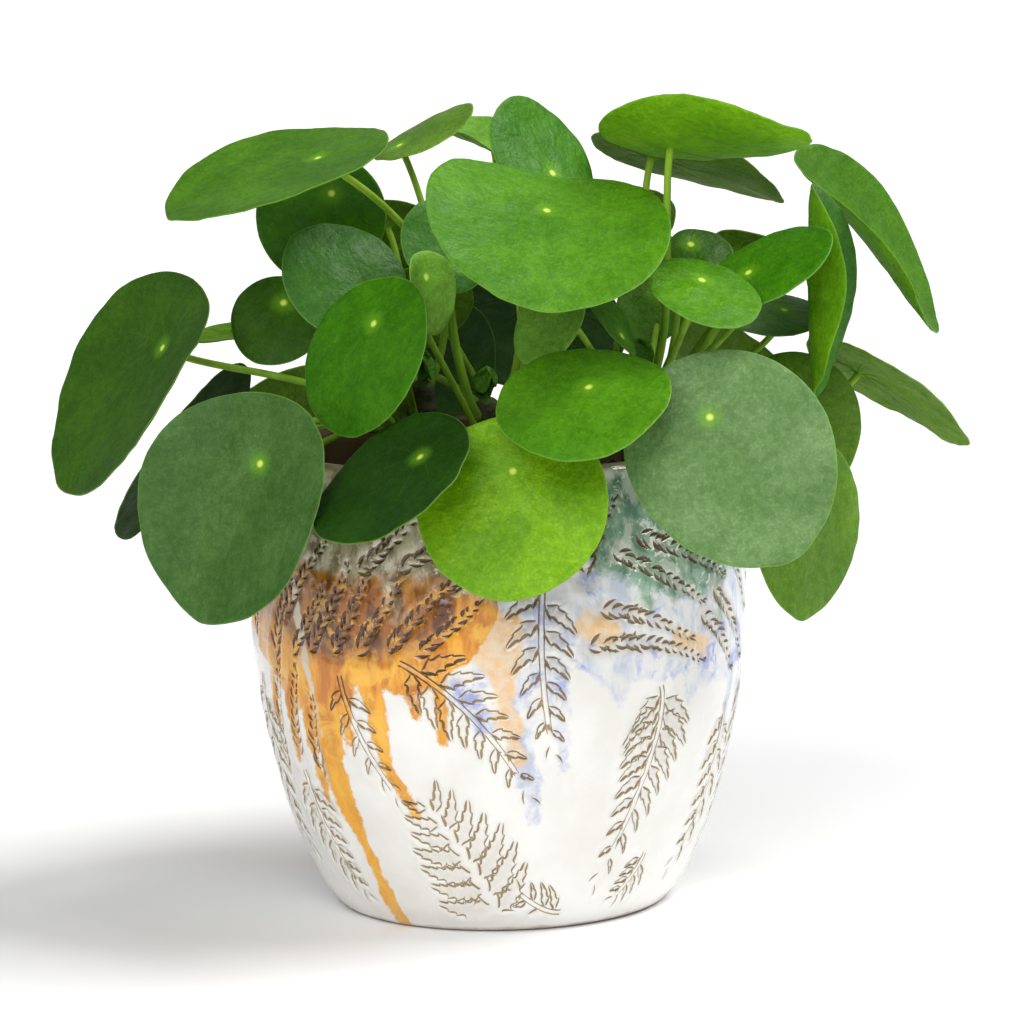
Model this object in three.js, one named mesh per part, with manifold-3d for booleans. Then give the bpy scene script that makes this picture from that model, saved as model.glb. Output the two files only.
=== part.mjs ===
import * as THREE from 'three';
import * as BufferGeometryUtils from 'three/addons/utils/BufferGeometryUtils.js';
import Module from 'manifold-3d';

// A potted pilea in millimetres, +Z up. The origin is the middle of the pot's flat underside.
// The front, -Y, is the side that the picture shows. +X is to the viewer's right.

// Driving dimensions of the pot
const POT_WALL = 6;
const POT_FLOOR = 8;
const POT_SIDES = 40;
// Outer radius at each height, from the foot to the start of the lip
const POT_OUTLINE = [
  { z: 0, r: 53.5 },
  { z: 1.5, r: 57 },
  { z: 7, r: 61.6 },
  { z: 14, r: 65.3 },
  { z: 22, r: 68.9 },
  { z: 31, r: 72.3 },
  { z: 42, r: 75.7 },
  { z: 54, r: 78.5 },
  { z: 67, r: 81.3 },
  { z: 81, r: 83.5 },
  { z: 95, r: 84.9 },
  { z: 109, r: 85 },
  { z: 123, r: 84 },
  { z: 136, r: 81.8 },
  { z: 147, r: 79.2 },
  { z: 155, r: 77 },
];
// The rounded lip, from the outside over to the inside
const POT_LIP = [
  { z: 157.2, r: 76.1 },
  { z: 158.3, r: 74.8 },
  { z: 158.5, r: 73.6 },
  { z: 158.1, r: 72.2 },
  { z: 156.8, r: 71.2 },
];

// Fern fronds are pressed into the pot's wall. A place on the wall is [s, z]: s is the arc to the right of the
// front, at REFERENCE_RADIUS, and z the height. The far half repeats the front half, mirrored.
const REFERENCE_RADIUS = 85;
const HALF_ROUND = Math.PI * REFERENCE_RADIUS;
const GROOVE_DEPTH = 0.9;
const GROOVE_OVER = 0.8;
// Each frond has a stalk from its foot to its tip, and pairs of leaflets that shorten towards the tip
const FROND_LEAN = 54;
const FROND_TAPER = 0.9;
const FROND_BARE = 0.04;
const LEAFLET_ROOT = 1.2;
const LEAFLET_LEAST = 8;
const LEAFLET_FULLNESS = 0.15;
const FRONDS = [
  { stalk: [[59, 84], [56, 56], [37.5, 11]], reach: 20, pairs: 10 },
  { stalk: [[15.5, 124], [14.5, 92], [19.5, 61]], reach: 15, pairs: 7 },
  { stalk: [[-33, 96], [-8, 77], [12.5, 45.5]], reach: 17, pairs: 8 },
  { stalk: [[-1, 4], [-14, 27], [-29, 47]], reach: 23, pairs: 6, lean: 68, taper: 0.35 },
  { stalk: [[-57, 90], [-49, 66], [-35, 45]], reach: 9, pairs: 6 },
  { stalk: [[-84, 54], [-77, 30], [-66, 9]], reach: 13, pairs: 7 },
  { stalk: [[100, 72], [97, 42], [82, 13]], reach: 14, pairs: 7 },
  { stalk: [[-108, 84], [-107, 52], [-98, 20]], reach: 15, pairs: 7 },
  { stalk: [[121, 80], [120, 50], [113, 18]], reach: 13, pairs: 7 },
];
// Dense ribs of small leaflets cover the upper half, each from its foot to its tip
const RIB_HALF_WIDTH = 1.5;
const RIBS = [
  [[-72, 96], [-61, 111], [-53, 127]],
  [[-50, 97], [-42, 109], [-33, 121]],
  [[-29, 98], [-17, 107], [-6, 116]],
  [[-50, 125], [-38, 134], [-26, 146]],
  [[-92, 92], [-87, 108], [-80, 122]],
  [[-34, 126], [-22, 134], [-10, 143]],
  [[0, 124], [8, 134], [20, 145]],
  [[34, 112], [52, 108], [73, 98]],
  [[50, 136], [72, 127], [94, 117]],
  [[86, 114], [99, 102], [112, 86]],
  [[-98, 120], [-88, 134], [-78, 146]],
  [[-112, 96], [-107, 112], [-100, 128]],
  [[106, 136], [118, 126], [127, 112]],
];

// Driving dimensions of the soil
const FIT_GAP = 0.3;
const SOIL_LEVEL = 141;
// Heights at which the inner wall bends, for the pot and the soil alike
const INSIDE_LEVELS = [151, SOIL_LEVEL, 109, 67, 31, POT_FLOOR];
const SOIL_SIDES = 40;
const SOIL_RINGS = [0.25, 0.5, 0.76];
const SOIL_LUMP = 1.5;
const SOIL_LUMPS = 7;

// Driving dimensions of the shoots
const STEM_RADIUS = 4.5;
const STEM_SIDES = 9;
const STEM_FOOT = 112;
// Radius and height above the foot, where the buried end narrows
const STEM_TAPER = [
  { r: 2.2, up: 1.5 },
  { r: 3.6, up: 12 },
  { r: STEM_RADIUS, up: 26 },
];
const HOLE_OVER = 20;
const STEM_OVER = 4;
const SCAR_PITCH = 9;
const SCAR_RISE = 0.25;
const SCAR_HEIGHT = 2.8;
// The rounded end on top
const STEM_TIP = [
  { r: STEM_RADIUS - 0.4, up: -1 },
  { r: STEM_RADIUS - 2, up: 1.2 },
  { r: 0, up: 1.8 },
];
const FIRST_LEAF = 148;
const LEAF_PITCH = 3;

// Driving dimensions that the leaves share
const BLADE_THICKNESS = 1;
const BLADE_SIDES = 16;
const SMALL_SIDES = 13;
const SMALL_BELOW = 48;
const BLADE_RINGS = [0.5, 1];
const BLADE_EGG = -0.06;
const TIP_POINT = 0.012;
const TIP_SPREAD = 0.22;
const NOTCH_SPREAD = 0.6;
const WAVE_SHARE = 0.011;
const WAVES = 3;
const HUB_AT = 0.3;
const ARCH = 4;
const PETIOLE_RADIUS = 1.35;
const PETIOLE_SIDES = 5;
const PETIOLE_STEPS = 6;
const PETIOLE_REACH = 0.35;
const PETIOLE_LEAN = 0.55;
const PETIOLE_RISE = 0.9;
const PETIOLE_NECK = 0.28;
const BOW_AT_FOOT = 0.6;
const BOW_TURN = 1.2;

// Driving dimensions of the young leaves on top of each shoot
const YOUNG_COUNT = 3;
const YOUNG_SIZE = [11, 9];
const YOUNG_SIDES = 7;
const YOUNG_PETIOLE = 0.9;
const YOUNG_PETIOLE_SIDES = 4;
const YOUNG_OUT = 3;
const YOUNG_UP = 4;
const YOUNG_HUB_AT = 0.25;
const YOUNG_STEP = 1.5;
const YOUNG_LIFT = 24;
const YOUNG_FOLD = -35;

const SEED = 20260;

// One leaf. hub: where the petiole meets the blade. facing: the way that the upper side looks, in degrees
// round from the front (90 is the viewer's right) and up from level, and the tip's swing from downhill.
// size: length and width. fold and arch: the blade's bend in degrees across and along it, where a plus sign
// turns the margins back. hubAt: the hub's place along the blade. rise and bow steer the petiole. notch: how
// much of the way from hub to margin is missing at the base.
function leaf(hub, facing, size, fold, extra = {}) {
  const usual = { arch: ARCH, hubAt: HUB_AT, rise: PETIOLE_RISE, bow: [0, 0, 0], notch: 0 };
  return { hub, facing, size, fold, ...usual, ...extra };
}

// The shoots, each with its leaves in the order in which they leave it, from the lowest up
const SHOOTS = [
  {
    name: 'left',
    foot: [-24, -8],
    youngTurn: 70,
    pitch: 2.5,
    leaves: [
      leaf([-72, 76, 158], [-142, 14, -6], [70, 66], -12, { arch: 6, rise: 1.2 }),
      leaf([-77, -65, 161], [-34, 18, -14], [78, 78], -32, { rise: 1.3, arch: 0 }),
      leaf([-24, -92, 166], [-49, 49, -21], [59, 56], -3, { bow: [-14, 0, 7], arch: -1 }),
      leaf([-101, 22, 166], [-110, 34, -2], [75, 73], 2, { arch: -2 }),
      leaf([-112, -10, 194], [-60, 29, -20], [84, 84], -23, { arch: -4 }),
      leaf([-88, 30, 194], [145, -76, 53], [24, 20], 8, { bow: [0, 7, 0] }),
      leaf([-71, 5, 207], [-8, 32, -16], [34, 33], 8),
      leaf([-39, -51.5, 205], [-44, 28, 9], [57, 54], -6),
      leaf([-36, 42, 229], [-160, 34, 10], [42, 40], 8, { arch: 8 }),
      leaf([-54, 15, 243], [-1, 2, -28], [46, 45], 0, { arch: 6 }),
      leaf([-42, -22, 212], [22, 31, -137], [45, 43], 8),
      leaf([-57, -20, 258], [-46, 70, -19], [79, 78], -12, { bow: [28, 16, 0], arch: 0 }),
    ],
  },
  {
    name: 'main',
    foot: [-2, -12],
    youngTurn: 200,
    pitch: 3.6,
    leaves: [
      leaf([6, -88, 160], [-7, 29, 0], [64, 63], 6, { hubAt: 0.31, rise: 1.55, bow: [-7, 0, 5] }),
      leaf([31, -88, 187], [-16, 57, -4], [56, 58], -3, { hubAt: 0.36, bow: [2, 0, -1], arch: 2 }),
      leaf([19, -60, 242], [20, 59, -21], [83, 83], -20, { hubAt: 0.34, notch: 0.2 }),
      leaf([-31, 36, 258], [-65, 63, 170], [39, 38], 14, { hubAt: 0.25, arch: 0 }),
      leaf([-21, -41, 219], [53, 9, 12], [29, 25], -17, { arch: 12 }),
      leaf([22, 10, 249], [47, 37, 177], [44, 45], 6, { arch: -7 }),
      leaf([-11, -23, 222], [26, 24, -156], [34, 32], 7, { arch: 2 }),
    ],
  },
  {
    name: 'right',
    foot: [50, -10],
    youngTurn: 10,
    leaves: [
      leaf([105, -62, 147], [45, 2, -9], [59, 51], 5, { rise: 1.55 }),
      leaf([70, -86, 176], [-4, 29, 29], [77, 67], 2, { arch: 12 }),
      leaf([101.5, 12, 170], [-3, 13, 9], [52, 47], 0, { bow: [0, 0, -4], arch: -3 }),
      leaf([22, -58, 209], [-38, 32, -24], [30, 27], -3),
      leaf([69, -68, 219], [30, 59, -15], [39, 38], 4, { hubAt: 0.33 }),
      leaf([108, -14, 221], [81, -3, -3], [74, 63], -55, { hubAt: 0.33, arch: -6 }),
      leaf([85, -46, 219], [-46, 52, 133], [43, 40], 12),
      leaf([57, 26, 206], [-17, 22, -15], [28, 26], 8),
      leaf([44, -21, 196], [66, 33, -145], [24, 23], -19, { arch: 1 }),
      leaf([68, -4, 225], [10, 51, 46], [24, 22], 8, { bow: [-3, -4, 0] }),
      leaf([61, -25, 260], [152, 68, -95], [74, 65], -22, { hubAt: 0.32, arch: -6 }),
    ],
  },
  {
    name: 'rear',
    foot: [8, 30],
    youngTurn: 100,
    leaves: [
      leaf([30, 98, 156], [160, 10, -8], [66, 62], 8, { rise: 1.5, arch: 6 }),
      leaf([-34, 92, 182], [-165, 30, -12], [78, 73], -14, { arch: 6 }),
      leaf([18, 108, 196], [168, 42, 14], [70, 66], 10, { arch: 6 }),
      leaf([-22, 54, 206], [-170, 35, 20], [40, 37], 8, { arch: 6 }),
      leaf([33, 65, 234.5], [172, 62, -15], [62, 58], -10, { arch: 8 }),
      leaf([2, 84, 254], [44, 72, -166], [36, 36], -33, { hubAt: 0.33, bow: [8, 0, 0], arch: -4 }),
    ],
  },
  {
    name: 'side',
    foot: [48, 24],
    youngTurn: 340,
    leaves: [
      leaf([84, 72, 172], [128, 22, 8], [76, 71], -16, { rise: 1.2, arch: 6 }),
      leaf([128, 35, 176], [118, 54, -40], [66, 65], -2, { hubAt: 0.32, rise: 1.05, arch: 8 }),
      leaf([100, 6, 201], [32, 69, -135], [42, 41], 18, { arch: 6 }),
      leaf([123, 32, 232], [74, 35, 22], [82, 62], -37, { hubAt: 0.33, bow: [0, 10, 6], arch: 2 }),
      leaf([70, 62, 214], [140, 48, 30], [46, 43], 8, { arch: 6 }),
      leaf([86, 22, 220.5], [158, 52, -72], [36, 31], 6, { bow: [-6, 12, 4] }),
      leaf([57, 45, 252], [135, 66, -45], [70, 63], -10, { hubAt: 0.32 }),
    ],
  },
];

const UP = new THREE.Vector3(0, 0, 1);
const wasm = await Module();
wasm.setup();

// Materials
const glaze = new THREE.MeshStandardMaterial({ color: 0xe9e4da, roughness: 0.25, metalness: 0 });
const earth = new THREE.MeshStandardMaterial({ color: 0x2b1f17, roughness: 0.95, metalness: 0 });
const stemSkin = new THREE.MeshStandardMaterial({ color: 0x6d7a3a, roughness: 0.6, metalness: 0 });
const leafSkin = new THREE.MeshStandardMaterial({ color: 0x3f7a2a, roughness: 0.45, metalness: 0 });

// A repeatable stream of draws between 0 and 1
function seeded(seed) {
  let state = seed;
  return () => {
    state = (state * 16807) % 2147483647;
    return state / 2147483647;
  };
}

// Radius of the pot's outer wall at a height
function outsideRadius(z) {
  const upper = Math.max(1, POT_OUTLINE.findIndex((point) => point.z >= z));
  const a = POT_OUTLINE[upper - 1];
  const b = POT_OUTLINE[upper];
  return a.r + ((b.r - a.r) * (z - a.z)) / (b.z - a.z);
}

function insideRadius(z) {
  return outsideRadius(z) - POT_WALL;
}

// Plain geometry with shared vertices and no flattened triangles
function weld(geometry) {
  const bare = geometry.clone();
  bare.deleteAttribute('normal');
  bare.deleteAttribute('uv');
  const merged = BufferGeometryUtils.mergeVertices(bare, 1e-4);
  const kept = [];
  const index = merged.index.array;
  for (let i = 0; i < index.length; i += 3) {
    const [a, b, c] = [index[i], index[i + 1], index[i + 2]];
    if (a !== b && b !== c && c !== a) kept.push(a, b, c);
  }
  merged.setIndex(kept);
  return merged;
}

function toSolid(geometry) {
  const merged = weld(geometry);
  const vertProperties = new Float32Array(merged.attributes.position.array);
  const triVerts = new Uint32Array(merged.index.array);
  return new wasm.Manifold(new wasm.Mesh({ numProp: 3, vertProperties, triVerts }));
}

function toGeometry(solid) {
  const mesh = solid.getMesh();
  const geometry = new THREE.BufferGeometry();
  geometry.setAttribute('position', new THREE.BufferAttribute(new Float32Array(mesh.vertProperties), 3));
  geometry.setIndex(Array.from(mesh.triVerts));
  return geometry;
}

function buildGeometry(points, triangles) {
  const geometry = new THREE.BufferGeometry();
  geometry.setAttribute('position', new THREE.Float32BufferAttribute(points.flat(), 3));
  geometry.setIndex(triangles.flat());
  return geometry;
}

// A turned solid about the Z axis, from [radius, height] pairs that start and end on the axis
function turned(profile, sides) {
  const points = profile.map(([r, z]) => new THREE.Vector2(r, z));
  const geometry = new THREE.LatheGeometry(points, sides);
  geometry.rotateX(Math.PI / 2);
  return weld(geometry);
}

function potProfile() {
  const profile = [[0, 0]];
  POT_OUTLINE.forEach(({ z, r }) => profile.push([r, z]));
  POT_LIP.forEach(({ z, r }) => profile.push([r, z]));
  INSIDE_LEVELS.forEach((z) => profile.push([insideRadius(z), z]));
  profile.push([0, POT_FLOOR]);
  return profile;
}

// A point of the pot's wall, or out of it by a distance
function onWall([s, z], out) {
  const angle = s / REFERENCE_RADIUS;
  const radius = outsideRadius(z) + out;
  return [radius * Math.sin(angle), -radius * Math.cos(angle), z];
}

// A point on a curve from a to c that bends towards b, and the way on from there
function onCurve([a, b, c], t) {
  const weights = [(1 - t) * (1 - 2 * t), 4 * t * (1 - t), t * (2 * t - 1)];
  const slopes = [4 * t - 3, 4 - 8 * t, 4 * t - 1];
  const blend = (shares, i) => shares[0] * a[i] + shares[1] * b[i] + shares[2] * c[i];
  return { at: [blend(weights, 0), blend(weights, 1)], heading: Math.atan2(blend(slopes, 1), blend(slopes, 0)) };
}

// A V-shaped cutter along a path of the wall. It narrows to a point at both ends.
function grooveCutters(path, halfWidth) {
  const spread = (halfWidth * (GROOVE_DEPTH + GROOVE_OVER)) / GROOVE_DEPTH;
  const sections = path.map((place, k) => {
    if (k === 0 || k === path.length - 1) return [onWall(place, 0), onWall(place, GROOVE_OVER)];
    const [before, after] = [path[k - 1], path[k + 1]];
    const heading = Math.atan2(after[1] - before[1], after[0] - before[0]);
    const across = [-Math.sin(heading) * spread, Math.cos(heading) * spread];
    const left = [place[0] + across[0], place[1] + across[1]];
    const right = [place[0] - across[0], place[1] - across[1]];
    return [onWall(place, -GROOVE_DEPTH), onWall(left, GROOVE_OVER), onWall(right, GROOVE_OVER)];
  });
  return sections.slice(1).map((section, k) => wasm.Manifold.hull([...sections[k], ...section]));
}

// The leaflets of one frond as grooves, on the front half or mirrored on the far half
function frondCutters({ stalk, reach, pairs, lean = FROND_LEAN, taper = FROND_TAPER }, place) {
  const cutters = [];
  [-1, 1].forEach((side) => {
    for (let k = 0; k < pairs; k += 1) {
      const t = FROND_BARE + ((0.97 - FROND_BARE) * (k + 0.5 + 0.2 * side)) / pairs;
      const { at, heading } = onCurve(stalk, t);
      const length = reach * (1 - t) ** taper * Math.min(1, 0.65 + 2.2 * t) + 2.4;
      if (length < LEAFLET_LEAST) continue;
      const turned = heading + side * THREE.MathUtils.degToRad(lean * (1.06 - 0.35 * t));
      const along = (distance) => place([at[0] + distance * Math.cos(turned), at[1] + distance * Math.sin(turned)]);
      const path = [along(LEAFLET_ROOT), along(LEAFLET_ROOT + 0.4 * length), along(LEAFLET_ROOT + length)];
      cutters.push(...grooveCutters(path, LEAFLET_FULLNESS * length));
    }
  });
  return cutters;
}

function potGeometry() {
  const halves = [([s, z]) => [s, z], ([s, z]) => [HALF_ROUND - s, z]];
  const cutters = halves.flatMap((place) => [
    ...FRONDS.flatMap((frond) => frondCutters(frond, place)),
    ...RIBS.flatMap((rib) => grooveCutters([0, 0.45, 1].map((t) => place(onCurve(rib, t).at)), RIB_HALF_WIDTH)),
  ]);
  const plain = toSolid(turned(potProfile(), POT_SIDES));
  const carved = plain.subtract(wasm.Manifold.union(cutters));
  // Where two grooves cross, a loose scrap can be left between them, so only the pot itself is kept
  const pieces = carved.decompose();
  pieces.sort((one, other) => other.volume() - one.volume());
  return toGeometry(pieces[0]);
}

// The soil fills the pot up to its level. Its top is lumpy, and each shoot stands in a plain hole.
function soilGeometry() {
  const draw = seeded(SEED);
  const lumps = Array.from({ length: SOIL_LUMPS }, () => {
    const heading = draw() * 2 * Math.PI;
    const pace = 0.05 + draw() * 0.08;
    return { x: pace * Math.cos(heading), y: pace * Math.sin(heading), from: draw() * 2 * Math.PI };
  });
  const lumpAt = (x, y) => {
    const sum = lumps.reduce((total, lump) => total + Math.sin(x * lump.x + y * lump.y + lump.from), 0);
    return (SOIL_LUMP * sum) / Math.sqrt(SOIL_LUMPS);
  };
  const levels = INSIDE_LEVELS.filter((z) => z <= SOIL_LEVEL).map((z) => Math.max(z, POT_FLOOR + FIT_GAP));
  const rim = insideRadius(SOIL_LEVEL) - FIT_GAP;
  const points = [[0, 0, SOIL_LEVEL + lumpAt(0, 0)]];
  const addRing = (radius, heightAt) => {
    for (let k = 0; k < SOIL_SIDES; k += 1) {
      const angle = (2 * Math.PI * k) / SOIL_SIDES;
      const x = radius * Math.cos(angle);
      const y = radius * Math.sin(angle);
      points.push([x, y, heightAt(x, y)]);
    }
  };
  SOIL_RINGS.forEach((share) => addRing(rim * share, (x, y) => SOIL_LEVEL + lumpAt(x, y)));
  levels.forEach((z) => addRing(insideRadius(z) - FIT_GAP, () => z));
  const last = points.length;
  points.push([0, 0, POT_FLOOR + FIT_GAP]);
  const rings = SOIL_RINGS.length + levels.length;
  const triangles = [];
  for (let k = 0; k < SOIL_SIDES; k += 1) {
    const next = (k + 1) % SOIL_SIDES;
    triangles.push([0, 1 + k, 1 + next]);
    for (let ring = 0; ring < rings - 1; ring += 1) {
      const a = 1 + ring * SOIL_SIDES;
      const b = a + SOIL_SIDES;
      triangles.push([a + k, b + k, b + next], [a + k, b + next, a + next]);
    }
    const end = 1 + (rings - 1) * SOIL_SIDES;
    triangles.push([last, end + next, end + k]);
  }
  let solid = toSolid(buildGeometry(points, triangles));
  const bottom = STEM_FOOT - FIT_GAP;
  const depth = SOIL_LEVEL + HOLE_OVER - bottom;
  const radius = STEM_RADIUS + FIT_GAP;
  SHOOTS.forEach(({ foot }) => {
    const hole = new THREE.CylinderGeometry(radius, radius, depth, STEM_SIDES);
    hole.rotateX(Math.PI / 2);
    hole.translate(foot[0], foot[1], bottom + depth / 2);
    solid = solid.subtract(toSolid(hole));
  });
  return toGeometry(solid);
}

// The blade's own directions: n out of the upper side, tip along the midrib, side across it
function leafAxes([face, lift, turn]) {
  const f = THREE.MathUtils.degToRad(face);
  const l = THREE.MathUtils.degToRad(lift);
  const t = THREE.MathUtils.degToRad(turn);
  const n = new THREE.Vector3(Math.sin(f) * Math.cos(l), -Math.cos(f) * Math.cos(l), Math.sin(l));
  const downhill = new THREE.Vector3(Math.sin(f) * Math.sin(l), -Math.cos(f) * Math.sin(l), -Math.cos(l));
  const across = n.clone().cross(downhill);
  const tip = downhill.multiplyScalar(Math.cos(t)).addScaledVector(across, Math.sin(t));
  const side = n.clone().cross(tip);
  return { n, tip, side };
}

// A bend that keeps the length along the blade: how far along, and how far down
function bend(distance, half, degrees) {
  const curve = THREE.MathUtils.degToRad(degrees) / half;
  if (Math.abs(curve) < 1e-6) return [distance, 0];
  return [Math.sin(curve * distance) / curve, -(1 - Math.cos(curve * distance)) / curve];
}

// A point of the upper side: share is 0 at the hub and 1 at the margin, angle is 0 at the tip
function bladePoint(spec, axes, share, angle, phase) {
  const [length, width] = spec.size;
  const fromTip = Math.min(angle, 2 * Math.PI - angle);
  const tipped = TIP_POINT * Math.exp(-((fromTip / TIP_SPREAD) ** 2));
  const notched = spec.notch * Math.exp(-(((Math.PI - fromTip) / NOTCH_SPREAD) ** 2));
  const u = share * (1 + tipped - notched) * length * (0.5 - spec.hubAt + 0.5 * Math.cos(angle));
  const v = share * width * 0.5 * Math.sin(angle) * (1 + BLADE_EGG * Math.cos(angle));
  const [along, dropAlong] = bend(u, length / 2, spec.arch);
  const [across, dropAcross] = bend(v, width / 2, spec.fold);
  const wave = WAVE_SHARE * length * share * share * Math.sin(WAVES * angle + phase);
  return new THREE.Vector3(...spec.hub)
    .addScaledVector(axes.tip, along)
    .addScaledVector(axes.side, across)
    .addScaledVector(axes.n, dropAlong + dropAcross + wave);
}

// A thin blade whose two faces are split into the same triangles
function bladeSolid(spec, axes, sides, rings, thickness, phase) {
  const upper = [new THREE.Vector3(...spec.hub)];
  rings.forEach((share) => {
    for (let k = 0; k < sides; k += 1) {
      upper.push(bladePoint(spec, axes, share, (2 * Math.PI * k) / sides, phase));
    }
  });
  const lower = upper.map((point) => point.clone().addScaledVector(axes.n, -thickness));
  const count = upper.length;
  const points = [...upper, ...lower].map((point) => point.toArray());
  const triangles = [];
  const both = (a, b, c) => triangles.push([a, b, c], [count + a, count + c, count + b]);
  for (let k = 0; k < sides; k += 1) {
    const next = (k + 1) % sides;
    both(0, 1 + k, 1 + next);
    for (let ring = 0; ring < rings.length - 1; ring += 1) {
      const a = 1 + ring * sides;
      const b = a + sides;
      both(a + k, b + k, b + next);
      both(a + k, b + next, a + next);
    }
    const edge = 1 + (rings.length - 1) * sides;
    triangles.push([edge + k, count + edge + k, count + edge + next]);
    triangles.push([edge + k, count + edge + next, edge + next]);
  }
  return toSolid(buildGeometry(points, triangles));
}

// A round stalk along a curve
function stalkSolid(curve, radius, sides, steps) {
  const section = new THREE.Shape();
  for (let k = 0; k < sides; k += 1) {
    const angle = (2 * Math.PI * k) / sides;
    const x = radius * Math.cos(angle);
    const y = radius * Math.sin(angle);
    if (k === 0) section.moveTo(x, y);
    else section.lineTo(x, y);
  }
  section.closePath();
  return toSolid(new THREE.ExtrudeGeometry(section, { steps, bevelEnabled: false, extrudePath: curve }));
}

// The petiole leaves the shoot outwards and up, and meets the blade's underside squarely
function petioleCurve(spec, axes, foot, height) {
  const hub = new THREE.Vector3(...spec.hub);
  const bow = new THREE.Vector3(...spec.bow);
  const node = new THREE.Vector3(foot[0], foot[1], height);
  const out = hub.clone().sub(node).addScaledVector(bow, BOW_TURN).setZ(0).normalize();
  const span = hub.distanceTo(node) - STEM_RADIUS;
  const leaving = out.clone().multiplyScalar(PETIOLE_LEAN * span).addScaledVector(UP, spec.rise * span);
  leaving.multiplyScalar(PETIOLE_REACH).addScaledVector(bow, BOW_AT_FOOT);
  const slant = leaving.clone().normalize().dot(out);
  const overhang = PETIOLE_RADIUS * Math.sqrt(1 - slant * slant);
  const start = node.addScaledVector(out, STEM_RADIUS + FIT_GAP + overhang);
  const first = start.clone().add(leaving);
  const second = hub.clone().addScaledVector(axes.n, -span * PETIOLE_NECK).add(bow);
  const end = hub.clone().addScaledVector(axes.n, -BLADE_THICKNESS / 2);
  return new THREE.CubicBezierCurve3(start, first, second, end);
}

function leafGeometry(spec, foot, height, phase) {
  const axes = leafAxes(spec.facing);
  const sides = spec.size[0] < SMALL_BELOW ? SMALL_SIDES : BLADE_SIDES;
  const blade = bladeSolid(spec, axes, sides, BLADE_RINGS, BLADE_THICKNESS, phase);
  const curve = petioleCurve(spec, axes, foot, height);
  const petiole = stalkSolid(curve, PETIOLE_RADIUS, PETIOLE_SIDES, PETIOLE_STEPS);
  return toGeometry(blade.add(petiole));
}

// A short upright stem with leaf-scar rings, and young leaves on top that are one piece with it
function shootGeometry({ foot, youngTurn }, top) {
  const profile = [[0, STEM_FOOT]];
  STEM_TAPER.forEach(({ r, up }) => profile.push([r, STEM_FOOT + up]));
  for (let z = SOIL_LEVEL + SCAR_HEIGHT; z < top - SCAR_HEIGHT; z += SCAR_PITCH) {
    profile.push([STEM_RADIUS - SCAR_RISE, z], [STEM_RADIUS, z + SCAR_HEIGHT / 2]);
  }
  STEM_TIP.forEach(({ r, up }) => profile.push([r, top + up]));
  const stem = turned(profile, STEM_SIDES);
  stem.translate(foot[0], foot[1], 0);
  let solid = toSolid(stem);
  for (let k = 0; k < YOUNG_COUNT; k += 1) {
    const turn = youngTurn + (360 * k) / YOUNG_COUNT;
    const angle = THREE.MathUtils.degToRad(turn);
    const out = new THREE.Vector3(Math.sin(angle), -Math.cos(angle), 0);
    const base = new THREE.Vector3(foot[0], foot[1], top);
    const hub = base.clone().addScaledVector(out, YOUNG_OUT).addScaledVector(UP, YOUNG_UP + YOUNG_STEP * k);
    const size = YOUNG_SIZE.map((length) => length - YOUNG_STEP * k);
    const spec = leaf(hub.toArray(), [turn, YOUNG_LIFT, 180], size, YOUNG_FOLD, { hubAt: YOUNG_HUB_AT });
    const axes = leafAxes(spec.facing);
    const blade = bladeSolid(spec, axes, YOUNG_SIDES, [1], BLADE_THICKNESS, 0);
    const end = hub.clone().addScaledVector(axes.n, -BLADE_THICKNESS / 2);
    const middle = base.clone().addScaledVector(UP, YOUNG_UP / 2);
    const curve = new THREE.QuadraticBezierCurve3(base, middle, end);
    solid = solid.add(stalkSolid(curve, YOUNG_PETIOLE, YOUNG_PETIOLE_SIDES, 2)).add(blade);
  }
  return toGeometry(solid);
}

function addMesh(group, name, geometry, material) {
  const mesh = new THREE.Mesh(geometry, material);
  mesh.name = name;
  group.add(mesh);
}

const plant = new THREE.Group();
addMesh(plant, 'pot', potGeometry(), glaze);
addMesh(plant, 'soil', soilGeometry(), earth);
const drawPhase = seeded(SEED + 1);
SHOOTS.forEach((shoot) => {
  const pitch = shoot.pitch ?? LEAF_PITCH;
  const top = FIRST_LEAF + pitch * (shoot.leaves.length - 1) + STEM_OVER;
  addMesh(plant, `shoot_${shoot.name}`, shootGeometry(shoot, top), stemSkin);
  shoot.leaves.forEach((spec, order) => {
    const number = String(order + 1).padStart(2, '0');
    const geometry = leafGeometry(spec, shoot.foot, FIRST_LEAF + pitch * order, drawPhase() * 2 * Math.PI);
    addMesh(plant, `leaf_${shoot.name}_${number}`, geometry, leafSkin);
  });
});

export default plant;
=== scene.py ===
"""A potted pilea: finer leaves, stems, soil and a carved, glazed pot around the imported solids."""

import math

import bpy
import numpy as np
from mathutils import Matrix
from mathutils.geometry import delaunay_2d_cdt


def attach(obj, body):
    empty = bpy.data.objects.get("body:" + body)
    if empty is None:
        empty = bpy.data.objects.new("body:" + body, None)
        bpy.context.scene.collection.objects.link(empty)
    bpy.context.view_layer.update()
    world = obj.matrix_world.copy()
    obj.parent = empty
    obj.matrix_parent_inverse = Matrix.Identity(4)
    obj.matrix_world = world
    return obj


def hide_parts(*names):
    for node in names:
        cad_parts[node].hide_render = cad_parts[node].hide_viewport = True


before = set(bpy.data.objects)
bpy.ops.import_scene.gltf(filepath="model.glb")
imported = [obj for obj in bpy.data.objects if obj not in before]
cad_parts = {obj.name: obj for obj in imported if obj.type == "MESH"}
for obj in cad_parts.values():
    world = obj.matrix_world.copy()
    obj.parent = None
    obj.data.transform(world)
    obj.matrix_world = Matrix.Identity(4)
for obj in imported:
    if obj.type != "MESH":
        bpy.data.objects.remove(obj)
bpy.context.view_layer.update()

MM = 0.001
TAU = 2 * math.pi

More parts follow.
